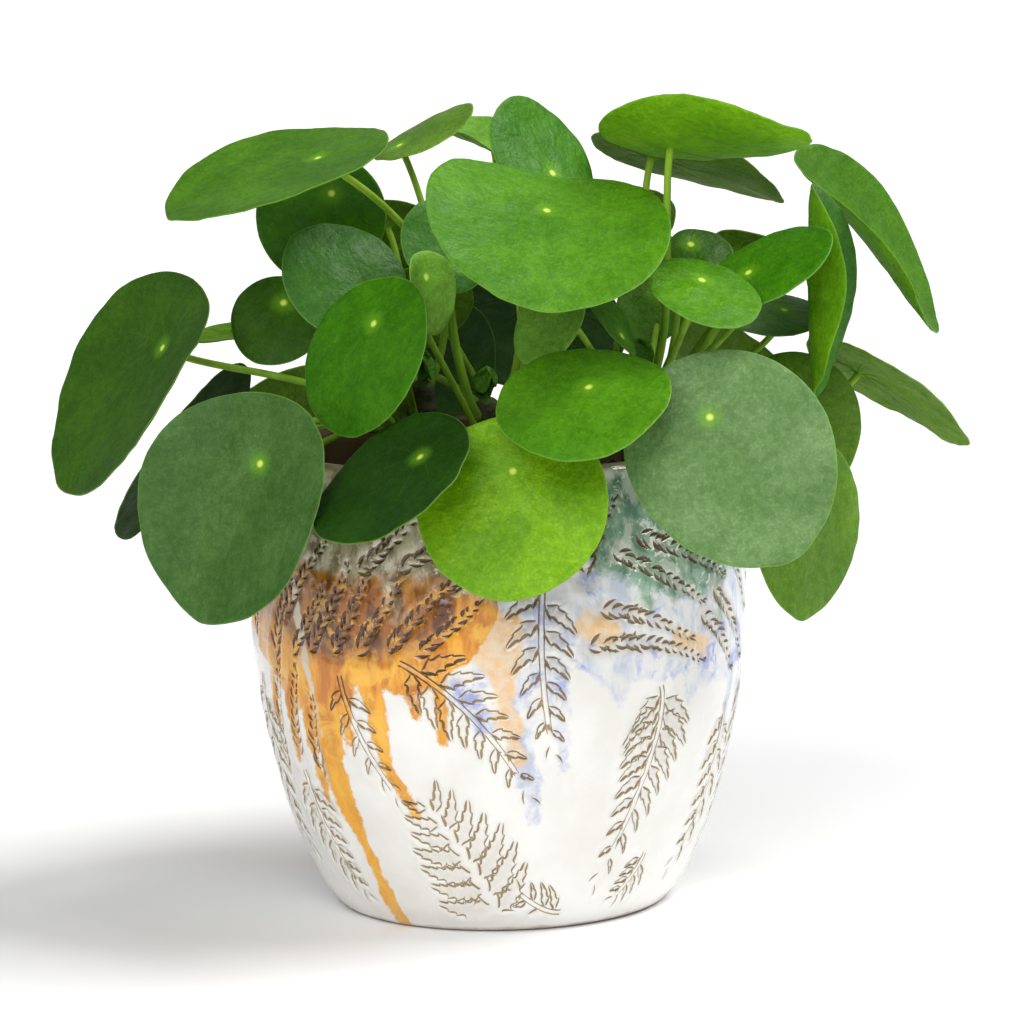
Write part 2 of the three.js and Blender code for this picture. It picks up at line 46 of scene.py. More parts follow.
# The plant's sizes, the same as those of the solids, in millimetres
POT_WALL = 6.0
POT_OUTLINE = [
    (0, 53.5), (1.5, 57), (7, 61.6), (14, 65.3), (22, 68.9), (31, 72.3), (42, 75.7), (54, 78.5),
    (67, 81.3), (81, 83.5), (95, 84.9), (109, 85), (123, 84), (136, 81.8), (147, 79.2), (155, 77),
]
SOIL_LEVEL = 141.0
FIT_GAP = 0.3
STEM_RADIUS = 4.5
STEM_FOOT = 112.0
STEM_OVER = 4.0
FIRST_LEAF = 148.0
LEAF_PITCH = 3.0
BLADE_EGG = -0.06
TIP_POINT = 0.012
TIP_SPREAD = 0.22
SHARP_TIP = 0.035
NOTCH_SPREAD = 0.6
WAVE_SHARE = 0.011
WAVES = 3
HUB_AT = 0.3
ARCH = 4.0
PETIOLE_RADIUS = 1.35
PETIOLE_REACH = 0.35
PETIOLE_LEAN = 0.55
PETIOLE_RISE = 0.9
PETIOLE_NECK = 0.28
BOW_AT_FOOT = 0.6
BOW_TURN = 1.2
YOUNG_COUNT = 3
YOUNG_SIZE = (11.0, 9.0)
YOUNG_OUT = 3.0
YOUNG_UP = 4.0
YOUNG_HUB_AT = 0.25
YOUNG_STEP = 1.5
YOUNG_LIFT = 24.0
YOUNG_FOLD = -35.0
YOUNG_PETIOLE = 0.9
# Places up a stem's foot, each with its radius
STEM_TAPER = [(0, 1.4), (1.5, 2.2), (12, 3.6), (26, 4.5)]
SCAR_PITCH = 9.0
SCAR_HEIGHT = 2.8
SOIL_LUMP = 1.5
SOIL_LUMPS = 7
SEED = 20260


def leaf(hub, facing, size, fold, upper="mid", under="pale", **extra):
    spec = dict(hub=hub, facing=facing, size=size, fold=fold, upper=upper, under=under)
    spec.update(arch=ARCH, hub_at=HUB_AT, rise=PETIOLE_RISE, bow=(0, 0, 0), notch=0, tip=TIP_POINT)
    spec.update(extra)
    return spec


SHOOTS = [
    dict(name="left", foot=(-24, -8), young_turn=70, pitch=2.5, leaves=[
        leaf((-72, 76, 158), (-142, 14, -6), (70, 66), -12, "deep", arch=6, rise=1.2),
        leaf((-77, -65, 161), (-34, 18, -14), (78, 78), -32, "moss", rise=1.3, arch=0, tip=SHARP_TIP),
        leaf((-24, -92, 166), (-49, 49, -21), (59, 56), -3, "dark", bow=(-14, 0, 7), arch=-1),
        leaf((-101, 22, 166), (-110, 34, -2), (75, 73), 2, "deep", "dark", arch=-2),
        leaf((-112, -10, 194), (-60, 29, -20), (84, 84), -23, "deep", arch=-4, tip=SHARP_TIP),
        leaf((-88, 30, 194), (145, -76, 53), (24, 20), 8, bow=(0, 7, 0)),
        leaf((-71, 5, 207), (-8, 32, -16), (34, 33), 8, "deep"),
        leaf((-39, -51.5, 205), (-44, 28, 9), (57, 54), -6, "emerald"),
        leaf((-36, 42, 229), (-160, 34, 10), (42, 40), 8, arch=8),
        leaf((-54, 15, 243), (-1, 2, -28), (46, 45), 0, "emerald", arch=6),
        leaf((-42, -22, 212), (22, 31, -137), (45, 43), 8, "cool"),
        leaf((-57, -20, 258), (-46, 70, -19), (79, 78), -12, bow=(28, 16, 0), arch=0),
    ]),
    dict(name="main", foot=(-2, -12), young_turn=200, pitch=3.6, leaves=[
        leaf((6, -88, 160), (-7, 29, 0), (64, 63), 6, "lime", hub_at=0.31, rise=1.55, bow=(-7, 0, 5)),
        leaf((31, -88, 187), (-16, 57, -4), (56, 58), -3, "fresh", hub_at=0.36, bow=(2, 0, -1), arch=2),
        leaf((19, -60, 242), (20, 59, -21), (83, 83), -20, "fresh", hub_at=0.34, notch=0.2),
        leaf((-31, 36, 258), (-65, 63, 170), (39, 38), 14, "sage", hub_at=0.25, arch=0),
        leaf((-21, -41, 219), (53, 9, 12), (29, 25), -17, "light", arch=12),
        leaf((22, 10, 249), (47, 37, 177), (44, 45), 6, "emerald", arch=-7),
        leaf((-11, -23, 222), (26, 24, -156), (34, 32), 7, "cool", arch=2),
    ]),
    dict(name="right", foot=(50, -10), young_turn=10, pitch=LEAF_PITCH, leaves=[
        leaf((105, -62, 147), (45, 2, -9), (59, 51), 5, "sage", rise=1.55, tip=SHARP_TIP),
        leaf((70, -86, 176), (-4, 29, 29), (77, 67), 2, "silver", arch=12),
        leaf((101.5, 12, 170), (-3, 13, 9), (52, 47), 0, "sage", bow=(0, 0, -4), arch=-3),
        leaf((22, -58, 209), (-38, 32, -24), (30, 27), -3, "light"),
        leaf((69, -68, 219), (30, 59, -15), (39, 38), 4, "fresh", hub_at=0.33),
        leaf((108, -14, 221), (81, -3, -3), (74, 63), -55, "cool", "bright", hub_at=0.33, arch=-6),
        leaf((85, -46, 219), (-46, 52, 133), (43, 40), 12, "emerald"),
        leaf((57, 26, 206), (-17, 22, -15), (28, 26), 8),
        leaf((44, -21, 196), (66, 33, -145), (24, 23), -19, "fresh", arch=1),
        leaf((68, -4, 225), (10, 51, 46), (24, 22), 8, "deep", bow=(-3, -4, 0)),
        leaf((61, -25, 260), (152, 68, -95), (74, 65), -22, "fresh", "bright", hub_at=0.32, arch=-6,
             tip=SHARP_TIP),
    ]),
    dict(name="rear", foot=(8, 30), young_turn=100, pitch=LEAF_PITCH, leaves=[
        leaf((30, 98, 156), (160, 10, -8), (66, 62), 8, rise=1.5, arch=6),
        leaf((-34, 92, 182), (-165, 30, -12), (78, 73), -14, "deep", "dark", arch=6),
        leaf((18, 108, 196), (168, 42, 14), (70, 66), 10, "mid", "dark", arch=6),
        leaf((-22, 54, 206), (-170, 35, 20), (40, 37), 8, arch=6),
        leaf((33, 65, 234.5), (172, 62, -15), (62, 58), -10, "fresh", arch=8),
        leaf((2, 84, 254), (44, 72, -166), (36, 36), -33, "light", hub_at=0.33, bow=(8, 0, 0), arch=-4),
    ]),
    dict(name="side", foot=(48, 24), young_turn=340, pitch=LEAF_PITCH, leaves=[
        leaf((84, 72, 172), (128, 22, 8), (76, 71), -16, "deep", rise=1.2, arch=6),
        leaf((128, 35, 176), (118, 54, -40), (66, 65), -2, hub_at=0.32, rise=1.05, arch=8, tip=SHARP_TIP),
        leaf((100, 6, 201), (32, 69, -135), (42, 41), 18, "silver", arch=6),
        leaf((123, 32, 232), (74, 35, 22), (82, 62), -37, "mid", "bright", hub_at=0.33, bow=(0, 10, 6),
             arch=2, tip=SHARP_TIP),
        leaf((70, 62, 214), (140, 48, 30), (46, 43), 8, "fresh", arch=6),
        leaf((86, 22, 220.5), (158, 52, -72), (36, 31), 6, bow=(-6, 12, 4)),
        leaf((57, 45, 252), (135, 66, -45), (70, 63), -10, hub_at=0.32, tip=SHARP_TIP),
    ]),
]

# Greens of the blades, as linear colours: each leaf's own tone, and for some, as marked, painted light and
# shade
GREENS = {
    # dark: painted shade, a near-black green for blades and undersides that lie in shade among the other
    # leaves
    "dark": (0.013, 0.056, 0.002),
    "deep": (0.032, 0.104, 0.003),
    "mid": (0.054, 0.170, 0.004),
    "emerald": (0.040, 0.170, 0.002),
    "fresh": (0.066, 0.218, 0.004),
    # light: painted light, a paler green for small blades that the suns leave in shade
    "light": (0.130, 0.310, 0.030),
    "lime": (0.160, 0.370, 0.004),
    # moss and cool: painted sheen, greyer greens that stand for a grey reflection on the blade
    "moss": (0.054, 0.137, 0.026),
    "cool": (0.044, 0.152, 0.016),
    "sage": (0.092, 0.212, 0.012),
    # silver: painted sheen and painted light, a pale grey green for a silvery reflection and for a blade
    # that lies in shade
    "silver": (0.122, 0.238, 0.074),
    "pale": (0.110, 0.240, 0.013),
    # bright: painted light, a glowing yellow-green for undersides lit through from behind
    "bright": (0.145, 0.380, 0.004),
}
PETIOLE_GREEN = (0.20, 0.36, 0.03)
# What a petiole has instead of the marks of a blade
STALK_MARKS = dict(vein=0.0, hub=60.0, margin=60.0, upper=0.5, stalk=1.0)


def seeded(seed):
    """The same stream of draws as the solids use."""
    state = seed
    while True:
        state = (state * 16807) % 2147483647
        yield state / 2147483647


def linked(name, data):
    """A new object with some data, in the scene."""
    obj = bpy.data.objects.new(name, data)
    bpy.context.scene.collection.objects.link(obj)
    return obj


def add_object(name, points, faces, material, floats=None, colours=None):
    """A smooth mesh object in metres from points in millimetres."""
    mesh = bpy.data.meshes.new(name)
    mesh.from_pydata((np.asarray(points) * MM).tolist(), [], [list(map(int, f)) for f in faces])
    for key, values in (floats or {}).items():
        mesh.attributes.new(key, "FLOAT", "POINT").data.foreach_set("value", np.asarray(values, np.float32))
    for key, values in (colours or {}).items():
        rgba = np.ones((len(points), 4), np.float32)
        rgba[:, :3] = values
        mesh.attributes.new(key, "FLOAT_COLOR", "POINT").data.foreach_set("color", rgba.ravel())
    mesh.materials.append(material)
    mesh.validate()
    mesh.shade_smooth()
    return linked(name, mesh)


def place(obj, node, slot):
    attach(obj, "root")
    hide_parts(node)


def ring_pairs(sides, start=0):
    """Each point of a closed ring with the one after it."""
    return [(start + k, start + (k + 1) % sides) for k in range(sides)]


def ring_faces(rings, sides):
    """Quads between successive closed rings of points."""
    starts = range(0, (rings - 1) * sides, sides)
    return [[a, a + sides, b + sides, b] for start in starts for a, b in ring_pairs(sides, start)]


def tube_faces(rings, sides):
    """Faces of a tube of rings, each end shut by one of the two points that follow them."""
    first = rings * sides
    faces = [f[::-1] for f in ring_faces(rings, sides)]
    faces += [[first, b, a] for a, b in ring_pairs(sides)]
    return faces + [[first + 1, a, b] for a, b in ring_pairs(sides, first - sides)]


def join(points, faces, more, more_faces):
    """Two meshes as one."""
    return np.concatenate([points, more]), faces + [[i + len(points) for i in f] for f in more_faces]


class Shell:
    """Points and faces that grow by closed rings of points."""

    def __init__(self, points, faces):
        self.points = points
        self.faces = [list(map(int, f)) for f in faces]

    def add(self, points):
        first = len(self.points)
        self.points = np.concatenate([self.points, points])
        return np.arange(first, len(self.points))

    def extend(self, edge, rings, flip, centre):
        """Rings that follow an edge's points, shut by a fan to the centre. Flip turns the faces over."""
        for ring in rings:
            now = self.add(ring)
            quads = np.stack([np.roll(edge, -1), np.roll(now, -1), now, edge], 1)
            self.faces += (quads[:, ::-1] if flip else quads).tolist()
            edge = now
        (middle,) = self.add([centre])
        fan = np.stack([edge, np.roll(edge, -1), np.full(len(edge), middle)], 1)
        self.faces += (fan[:, ::-1] if flip else fan).tolist()


def value_noise(points, scale, seed):
    """Smooth noise between -1 and 1 of points, with features about scale apart."""
    rng = np.random.default_rng(seed)
    table = rng.uniform(-1, 1, 4096)
    p = np.asarray(points, float) / scale
    cell = np.floor(p).astype(np.int64)
    f = p - cell
    f = f * f * (3 - 2 * f)
    total = np.zeros(len(p))
    for corner in range(2 ** p.shape[1]):
        weight = np.ones(len(p))
        key = np.zeros(len(p), np.int64)
        for axis, prime in zip(range(p.shape[1]), (73856093, 19349663, 83492791)):
            bit = (corner >> axis) & 1
            weight *= f[:, axis] if bit else 1 - f[:, axis]
            key ^= (cell[:, axis] + bit) * prime
        total += weight * table[key & 4095]
    return total


def hill(x, width):
    """A bell of height 1 at x = 0."""
    return np.exp(-((x / width) ** 2))


def unit(v):
    return v / np.linalg.norm(v)


def directions(path):
    """Unit steps along a path of points."""
    steps = np.gradient(path, axis=0)
    return steps / np.maximum(np.linalg.norm(steps, axis=1)[:, None], 1e-6)


def leaf_axes(facing):
    face, lift, turn = np.radians(facing)
    n = np.array([math.sin(face) * math.cos(lift), -math.cos(face) * math.cos(lift), math.sin(lift)])
    down = np.array([math.sin(face) * math.sin(lift), -math.cos(face) * math.sin(lift), -math.cos(lift)])
    tip = math.cos(turn) * down + math.sin(turn) * np.cross(n, down)
    return n, tip, np.cross(n, tip)


def bend(x, half, degrees):
    curve = math.radians(degrees) / half
    if abs(curve) < 1e-6:
        return x, np.zeros_like(x)
    return np.sin(curve * x) / curve, -(1 - np.cos(curve * x)) / curve


def blade_uv(spec, share, angle):
    """Place on the flat blade, along and across, in millimetres from the hub."""
    length, width = spec["size"]
    from_tip = np.minimum(angle % TAU, TAU - angle % TAU)
    tipped = spec["tip"] * hill(from_tip, TIP_SPREAD)
    notched = spec["notch"] * hill(math.pi - from_tip, NOTCH_SPREAD)
    u = share * (1 + tipped - notched) * length * (0.5 - spec["hub_at"] + 0.5 * np.cos(angle))
    v = share * width * 0.5 * np.sin(angle) * (1 + BLADE_EGG * np.cos(angle))
    return u, v


def blade_points(spec, axes, share, angle, phase, offset):
    """Points of the blade at a share of the way to the margin, offset along the upper side's normal."""
    n, tip, side = axes
    length, width = spec["size"]
    u, v = blade_uv(spec, share, angle)
    along, drop_along = bend(u, length / 2, spec["arch"])
    across, drop_across = bend(v, width / 2, spec["fold"])
    wave = WAVE_SHARE * length * share * share * np.sin(WAVES * angle + phase)
    lift = drop_along + drop_across + wave + offset
    level = np.array(spec["hub"], float) + along[:, None] * tip + across[:, None] * side
    return level + lift[:, None] * n


# The finer blades and petioles
FINE_THICKNESS = 0.75
# The blades' steps between two veins, fewer on blades up to LARGE_BLADE long
LARGE_BLADE = 48
LARGE_STEPS = 11
SMALL_STEPS = 6
VEINS = 8
VEIN_WIDTH = math.radians(1.5)
VEIN_SWEEP = 0.35
MARGIN_UNEVEN = 0.016
BLADE_SHARES = (
    0.03, 0.06, 0.10, 0.15, 0.21, 0.27, 0.33, 0.39, 0.45, 0.51, 0.57, 0.63,
    0.69, 0.75, 0.80, 0.85, 0.895, 0.93, 0.96, 0.98, 0.992, 1,
)


def blade_angles(between):
    """Angles round the blade, with a narrow group of three at each vein."""
    sector = TAU / VEINS
    angles, vein = [], []
    for k in range(VEINS):
        centre = k * sector
        spread = np.linspace(VEIN_WIDTH, sector - VEIN_WIDTH, between + 2)
        angles += [centre, *(centre + spread)]
        vein += [1.0] + [0.0] * (between + 2)
    return np.array(angles), np.array(vein)


def blade_mesh(spec, axes, phase, seed):
    """Points, faces and surface marks of one blade, closed round its margin."""
    angles, on_vein = blade_angles(LARGE_STEPS if spec["size"][0] > LARGE_BLADE else SMALL_STEPS)
    sides, rings = len(angles), len(BLADE_SHARES)
    share = np.repeat(BLADE_SHARES, sides)
    angle = np.tile(angles, rings)
    vein = np.append(np.tile(on_vein, rings) * np.clip(1.15 - share, 0.15, 1), 1.0)
    angle = np.append(angle + VEIN_SWEEP * np.sin(angle) * (1 - share), 0.0)
    share = np.append(share, 0.0)
    lap = np.stack([np.cos(angle), np.sin(angle)], 1) + 7.0
    uneven = 0.6 * value_noise(lap, 0.42, seed + 3) + 0.4 * value_noise(lap, 0.16, seed + 4)
    inward = 1 - MARGIN_UNEVEN * share**3 * np.clip(0.5 + 0.7 * uneven, 0, 1)
    u, v = blade_uv(spec, share, angle)
    from_hub = np.hypot(u, v)
    flat = np.stack([u + 300 + 97 * seed, v + 500], 1)
    quilt = 0.42 * value_noise(flat, 8.0, seed) + 0.22 * value_noise(flat, 3.8, seed + 1)
    quilt += 0.7 * value_noise(flat, 22.0, seed + 2) * share
    quilt *= np.clip(from_hub / 6, 0, 1)
    to_margin = (1 - share) * np.maximum(np.hypot(*blade_uv(spec, np.ones_like(angle), angle)), 1)
    near_margin = np.clip(1 - to_margin / 1.3, 0, 1)
    rounding = 0.5 * FINE_THICKNESS * (1 - np.sqrt(np.clip(1 - near_margin**2, 0, 1)))
    rounding = np.minimum(rounding, 0.42 * FINE_THICKNESS)
    dimple = -0.45 * hill(from_hub, 4.0)
    rim = 0.10 * hill(to_margin - 1.6, 1.1)
    upper_offset = quilt + dimple + rim - 0.07 * vein * (from_hub > 1.5) - rounding
    lower_offset = quilt - FINE_THICKNESS - 0.3 * vein * (from_hub > 1.5) + rounding
    lower_offset -= 0.9 * hill(from_hub, 3.0)
    upper = blade_points(spec, axes, share * inward, angle, phase, upper_offset)
    lower = blade_points(spec, axes, share * inward, angle, phase, lower_offset)
    count = len(upper)
    faces = ring_faces(rings, sides)
    faces += [[count - 1, a, b] for a, b in ring_pairs(sides)]
    faces += [[count + i for i in reversed(f)] for f in faces]
    faces += [[a, count + a, count + b, b] for a, b in ring_pairs(sides, (rings - 1) * sides)]
    marks = dict(
        vein=np.tile(vein, 2),
        hub=np.tile(from_hub, 2),
        margin=np.tile(to_margin, 2),
        upper=np.repeat([1.0, 0.0], count),
    )
    return np.concatenate([upper, lower]), faces, marks


def bezier(controls, t):
    a, b, c, d = [np.asarray(p, float) for p in controls]
    t = t[:, None]
    return a * (1 - t) ** 3 + 3 * b * t * (1 - t) ** 2 + 3 * c * t * t * (1 - t) + d * t**3


def tube(path, radii, sides):
    """A closed round tube along a path."""
    tangents = directions(path)
    guess = np.array([0.0, 0.0, 1.0]) if abs(tangents[0][2]) < 0.9 else np.array([1.0, 0.0, 0.0])
    x = unit(np.cross(tangents[0], guess))
    points = []
    turn = np.arange(sides)[:, None] * TAU / sides
    for p, t, r in zip(path, tangents, radii):
        x = unit(x - t * (x @ t))
        points.append(p + r * (np.cos(turn) * x + np.sin(turn) * np.cross(t, x)))
    return np.concatenate(points + [path[:1], path[-1:]]), tube_faces(len(path), sides)


PETIOLE_RINGS = 26
PETIOLE_SIDES = 12
PETIOLE_IN_STEM = 2.2
# The petiole ends inside the thicker middle of the blade's underside
PETIOLE_END = 1.25


def petiole_controls(spec, axes, foot, height):
    hub = np.array(spec["hub"], float)
    bow = np.array(spec["bow"], float)
    node = np.array([*foot, height], float)
    out = (hub - node) + BOW_TURN * bow
    out[2] = 0
    out = unit(out)
    span = np.linalg.norm(hub - node) - STEM_RADIUS
    climb = np.array([0, 0, spec["rise"]])
    leaving = PETIOLE_REACH * span * (PETIOLE_LEAN * out + climb) + BOW_AT_FOOT * bow
    slant = unit(leaving) @ out
    start = node + out * (STEM_RADIUS + FIT_GAP + PETIOLE_RADIUS * math.sqrt(1 - slant * slant))
    second = hub - axes[0] * span * PETIOLE_NECK + bow
    return start, start + leaving, second, hub - axes[0] * PETIOLE_END


def petiole_mesh(spec, axes, foot, height):
    t = np.linspace(0, 1, PETIOLE_RINGS)
    path = bezier(petiole_controls(spec, axes, foot, height), t)
    path = np.concatenate([path[:1] + unit(path[0] - path[1]) * PETIOLE_IN_STEM, path])
    t = np.append(0, t)
    small = 0.8 + 0.2 * min(spec["size"][0] / 60, 1)
    swell = 0.45 * hill(t, 0.05) + 0.12 * hill(1 - t, 0.03)
    points, faces = tube(path, PETIOLE_RADIUS * small * (0.98 - 0.08 * t + swell), PETIOLE_SIDES)
    return points, faces, np.append(np.repeat(t, PETIOLE_SIDES), [0, 1])


def leaf_piece(name, spec, foot, height, phase, seed, material):
    axes = leaf_axes(spec["facing"])
    blade, blade_faces, marks = blade_mesh(spec, axes, phase, seed)
    stalk, stalk_faces, along = petiole_mesh(spec, axes, foot, height)
    points, faces = join(blade, blade_faces, stalk, stalk_faces)
    none = np.zeros(len(blade))
    # The blade's tones, some of them painted shade, light, sheen and glow as marked in GREENS
    blade_tone = np.where(marks["upper"][:, None] > 0.5, GREENS[spec["upper"]], GREENS[spec["under"]])
    tone = np.concatenate([blade_tone, np.tile(PETIOLE_GREEN, (len(stalk), 1))])
    floats = dict(along=np.append(none, along))
    for key, on_stalk in STALK_MARKS.items():
        floats[key] = np.append(marks.get(key, none), np.full(len(stalk), on_stalk))
    place(add_object(name + "_fine", points, faces, material, floats, dict(tone=tone)), name, "leaf")


class Nodes:
    """A short way to write a node tree."""

    def __init__(self, name):
        self.material = bpy.data.materials.new(name)
        self.material.use_nodes = True
        self.tree = self.material.node_tree
        self.shader = self.tree.nodes["Principled BSDF"]
        self.coords = self.node("ShaderNodeTexCoord").outputs["Object"]

    def node(self, kind, inputs=None, **settings):
        made = self.tree.nodes.new(kind)
        for key, value in settings.items():
            setattr(made, key, value)
        for key, value in (inputs or {}).items():
            self.put(made.inputs[key], value)
        return made

    def put(self, socket, value):
        if isinstance(value, bpy.types.NodeSocket):
            self.tree.links.new(value, socket)
        elif isinstance(value, tuple) and socket.type == "RGBA":
            socket.default_value = (*value, 1.0)
        else:
            socket.default_value = value

    def attribute(self, name, output="Fac"):
        return self.node("ShaderNodeAttribute", attribute_name=name).outputs[output]

    def math(self, operation, a, b=0.0):
        return self.node("ShaderNodeMath", {0: a, 1: b}, operation=operation).outputs[0]

    def times(self, a, b):
        return self.math("MULTIPLY", a, b)

    def plus(self, a, b):
        return self.math("ADD", a, b)

    def ramp(self, value, low, high, least=0.0, most=1.0):
        """From least to most, in a smooth step as the value passes from low to high."""
        ends = {"Value": value, "From Min": low, "From Max": high, "To Min": least, "To Max": most}
        return self.node("ShaderNodeMapRange", ends, interpolation_type="SMOOTHSTEP").outputs[0]

    def mix(self, share, a, b, blend="MIX"):
        inputs = {0: share, 6: a, 7: b}
        return self.node("ShaderNodeMix", inputs, data_type="RGBA", blend_type=blend).outputs[2]

    def tint(self, base, over, by, low, high, least=0.0, most=1.0, blend="MIX"):
        """The colour over laid on base, by the ramp of a value."""
        return self.mix(self.ramp(by, low, high, least, most), base, over, blend)

    def noise(self, per_metre, detail=3.0, rough=0.5, distort=0.0, coords=None):
        made = self.node("ShaderNodeTexNoise", {"Scale": per_metre, "Detail": detail, "Roughness": rough})
        self.put(made.inputs["Vector"], coords or self.coords)
        self.put(made.inputs["Distortion"], distort)
        return made.outputs["Fac"]

    def stretched(self, x, y, z):
        """The object's coordinates, scaled along each axis."""
        inputs = {0: self.coords, 1: (x, y, z)}
        return self.node("ShaderNodeVectorMath", inputs, operation="MULTIPLY").outputs[0]

    def bump(self, height, distance, strength):
        settings = {"Height": height, "Distance": distance, "Strength": strength}
        return self.node("ShaderNodeBump", settings).outputs[0]

    def finish(self, **sockets):
        for key, value in sockets.items():
            self.put(self.shader.inputs[key.replace("_", " ")], value)
        return self.material


def leaf_material():
    m = Nodes("leaf_skin")
    upper, hub, margin = m.attribute("upper"), m.attribute("hub"), m.attribute("margin")
    vein, stalk, along = m.attribute("vein"), m.attribute("stalk"), m.attribute("along")
    patches, cells, grain = m.noise(45, 3.0, 0.55), m.noise(380, 2.0, 0.5), m.noise(1000, 3.0, 0.7)
    shade = m.tint((0.82, 0.87, 0.75), (1.20, 1.13, 1.2), patches, 0.36, 0.66)
    colour = m.mix(1.0, m.attribute("tone", "Color"), shade, "MULTIPLY")
    colour = m.tint(colour, (0.66, 0.74, 0.6), cells, 0.40, 0.62, 0.0, 0.55, "MULTIPLY")
    colour = m.tint(colour, (1.7, 1.4, 2.0), grain, 0.45, 0.72, 0.0, 0.65, "MULTIPLY")
    vein_share = m.times(m.ramp(vein, 0.3, 1.0), m.ramp(upper, 0.0, 1.0, 0.3, 0.2))
    colour = m.mix(vein_share, colour, (0.20, 0.38, 0.06))
    colour = m.tint(colour, (0.24, 0.44, 0.07), margin, 0.1, 0.5, 0.35, 0.0)
    colour = m.tint(colour, (0.17, 0.42, 0.01), hub, 1.0, 6.0, 0.45, 0.0)
    spot = m.times(m.ramp(hub, 0.5, 1.7, 1.0, 0.0), m.ramp(upper, 0.4, 0.9, 0.5, 1.0))
    colour = m.mix(spot, colour, (0.62, 0.78, 0.12))
    stripes = m.noise(240, 2.0, 0.5, coords=m.stretched(1.0, 1.0, 0.25))
    petiole = m.tint((0.15, 0.31, 0.015), (0.22, 0.40, 0.03), stripes, 0.3, 0.7)
    petiole = m.tint(petiole, (0.10, 0.12, 0.025), along, 0.0, 0.14, 0.6, 0.0)
    petiole = m.tint(petiole, (0.34, 0.54, 0.04), along, 0.6, 1.0, 0.0, 0.7)
    colour = m.mix(stalk, colour, petiole)
    pebble = m.times(m.math("SUBTRACT", 1.0, stalk), m.plus(m.times(grain, 0.35), cells))
    sheen = m.ramp(m.noise(140, 3.0, 0.6), 0.3, 0.7, 0.34, 0.5)
    rough = m.plus(sheen, m.ramp(upper, 0.0, 1.0, 0.35, 0.0))
    normal = m.bump(pebble, 0.0006, 0.9)
    return m.finish(Base_Color=colour, Roughness=rough, Normal=normal, Specular_IOR_Level=0.16)


# The pot. A place on its wall is (s, z), in millimetres: s is the arc to the right of the front, at
# REFERENCE_RADIUS, and z the height. The far half repeats the front half, mirrored.
REFERENCE_RADIUS = 85.0
ROUND = TAU * REFERENCE_RADIUS
CARVED_FROM = 4.0
CARVED_TO = 151.0
FADE = 4.0
HAND_TURNED = 0.25
# The wall is cut in a flat sheet that starts at SEAM, and its cuts keep clear of the sheet's ends and edges
SEAM = 0.25 * ROUND
SEAM_CLEAR = 2.5
EDGE_CLEAR = 1.5
SHEET_TOP = 160
GRID_STEP = 1.5
GRID_SHIFT = 0.3
TAKEN_STEP = 0.5
PRESS_STEP = 0.6
CUT_LIP = 0.16
# From these half-widths on, a cut has its full depth and its full lip
FULL_CUT = 0.45
FULL_LIP = 0.4
NARROWEST = 0.1
# How high the soft rim of a pressed leaflet stands
PRESSED_RIM = 0.45
# The rest of the pot's outline: places (radius, height) over the lip and under the foot, and levels inside
ROUND_LIP = [
    (76.55, 156.2), (75.9, 157.4), (75.0, 158.15), (73.9, 158.5), (72.8, 158.35), (71.9, 157.7),
    (71.3, 156.6),
]
ROUND_FOOT = [(56.6, 1.1), (55.4, 0.4), (53.6, 0.0), (30.0, 0.0)]
INSIDE_LEVELS = (152, 146, SOIL_LEVEL, 125, 101, 74, 50, 30, 17)
LEVELS_TO_LIP = (153.0, 154.5)
LEVELS_TO_FOOT = (3.0, 2.0)
POT_FLOOR = 8.0
FLOOR_CORNER = 5.0
FROND_LEAN = 54
FROND_TAPER = 0.9
FROND_BARE = 0.04
LEAFLET_ROOT = 1.2
LEAFLET_FULLNESS = 0.15
LEAFLET_STEPS = 24
# The first nine fronds are the solid's, the one at the bottom larger here, and two small ones follow
FRONDS = [
    dict(stalk=((59, 84), (56, 56), (37.5, 11)), reach=20, pairs=10),
    dict(stalk=((15.5, 124), (14.5, 92), (19.5, 61)), reach=15, pairs=7),
    dict(stalk=((-33, 96), (-8, 77), (12.5, 45.5)), reach=17, pairs=8),
    dict(stalk=((-1, 4), (-14, 27), (-29, 49)), reach=25, pairs=7, lean=62, taper=0.45),
    dict(stalk=((-57, 90), (-49, 66), (-35, 45)), reach=9, pairs=6),
    dict(stalk=((-84, 54), (-77, 30), (-66, 9)), reach=13, pairs=7),
    dict(stalk=((100, 72), (97, 42), (82, 13)), reach=14, pairs=7),
    dict(stalk=((-108, 84), (-107, 52), (-98, 20)), reach=15, pairs=7),
    dict(stalk=((121, 80), (120, 50), (113, 18)), reach=13, pairs=7),
    dict(stalk=((63, 25), (58, 16), (50, 8)), reach=8, pairs=5),
    dict(stalk=((26, 7), (15, 10), (2, 19)), reach=11, pairs=4, lean=62),
]
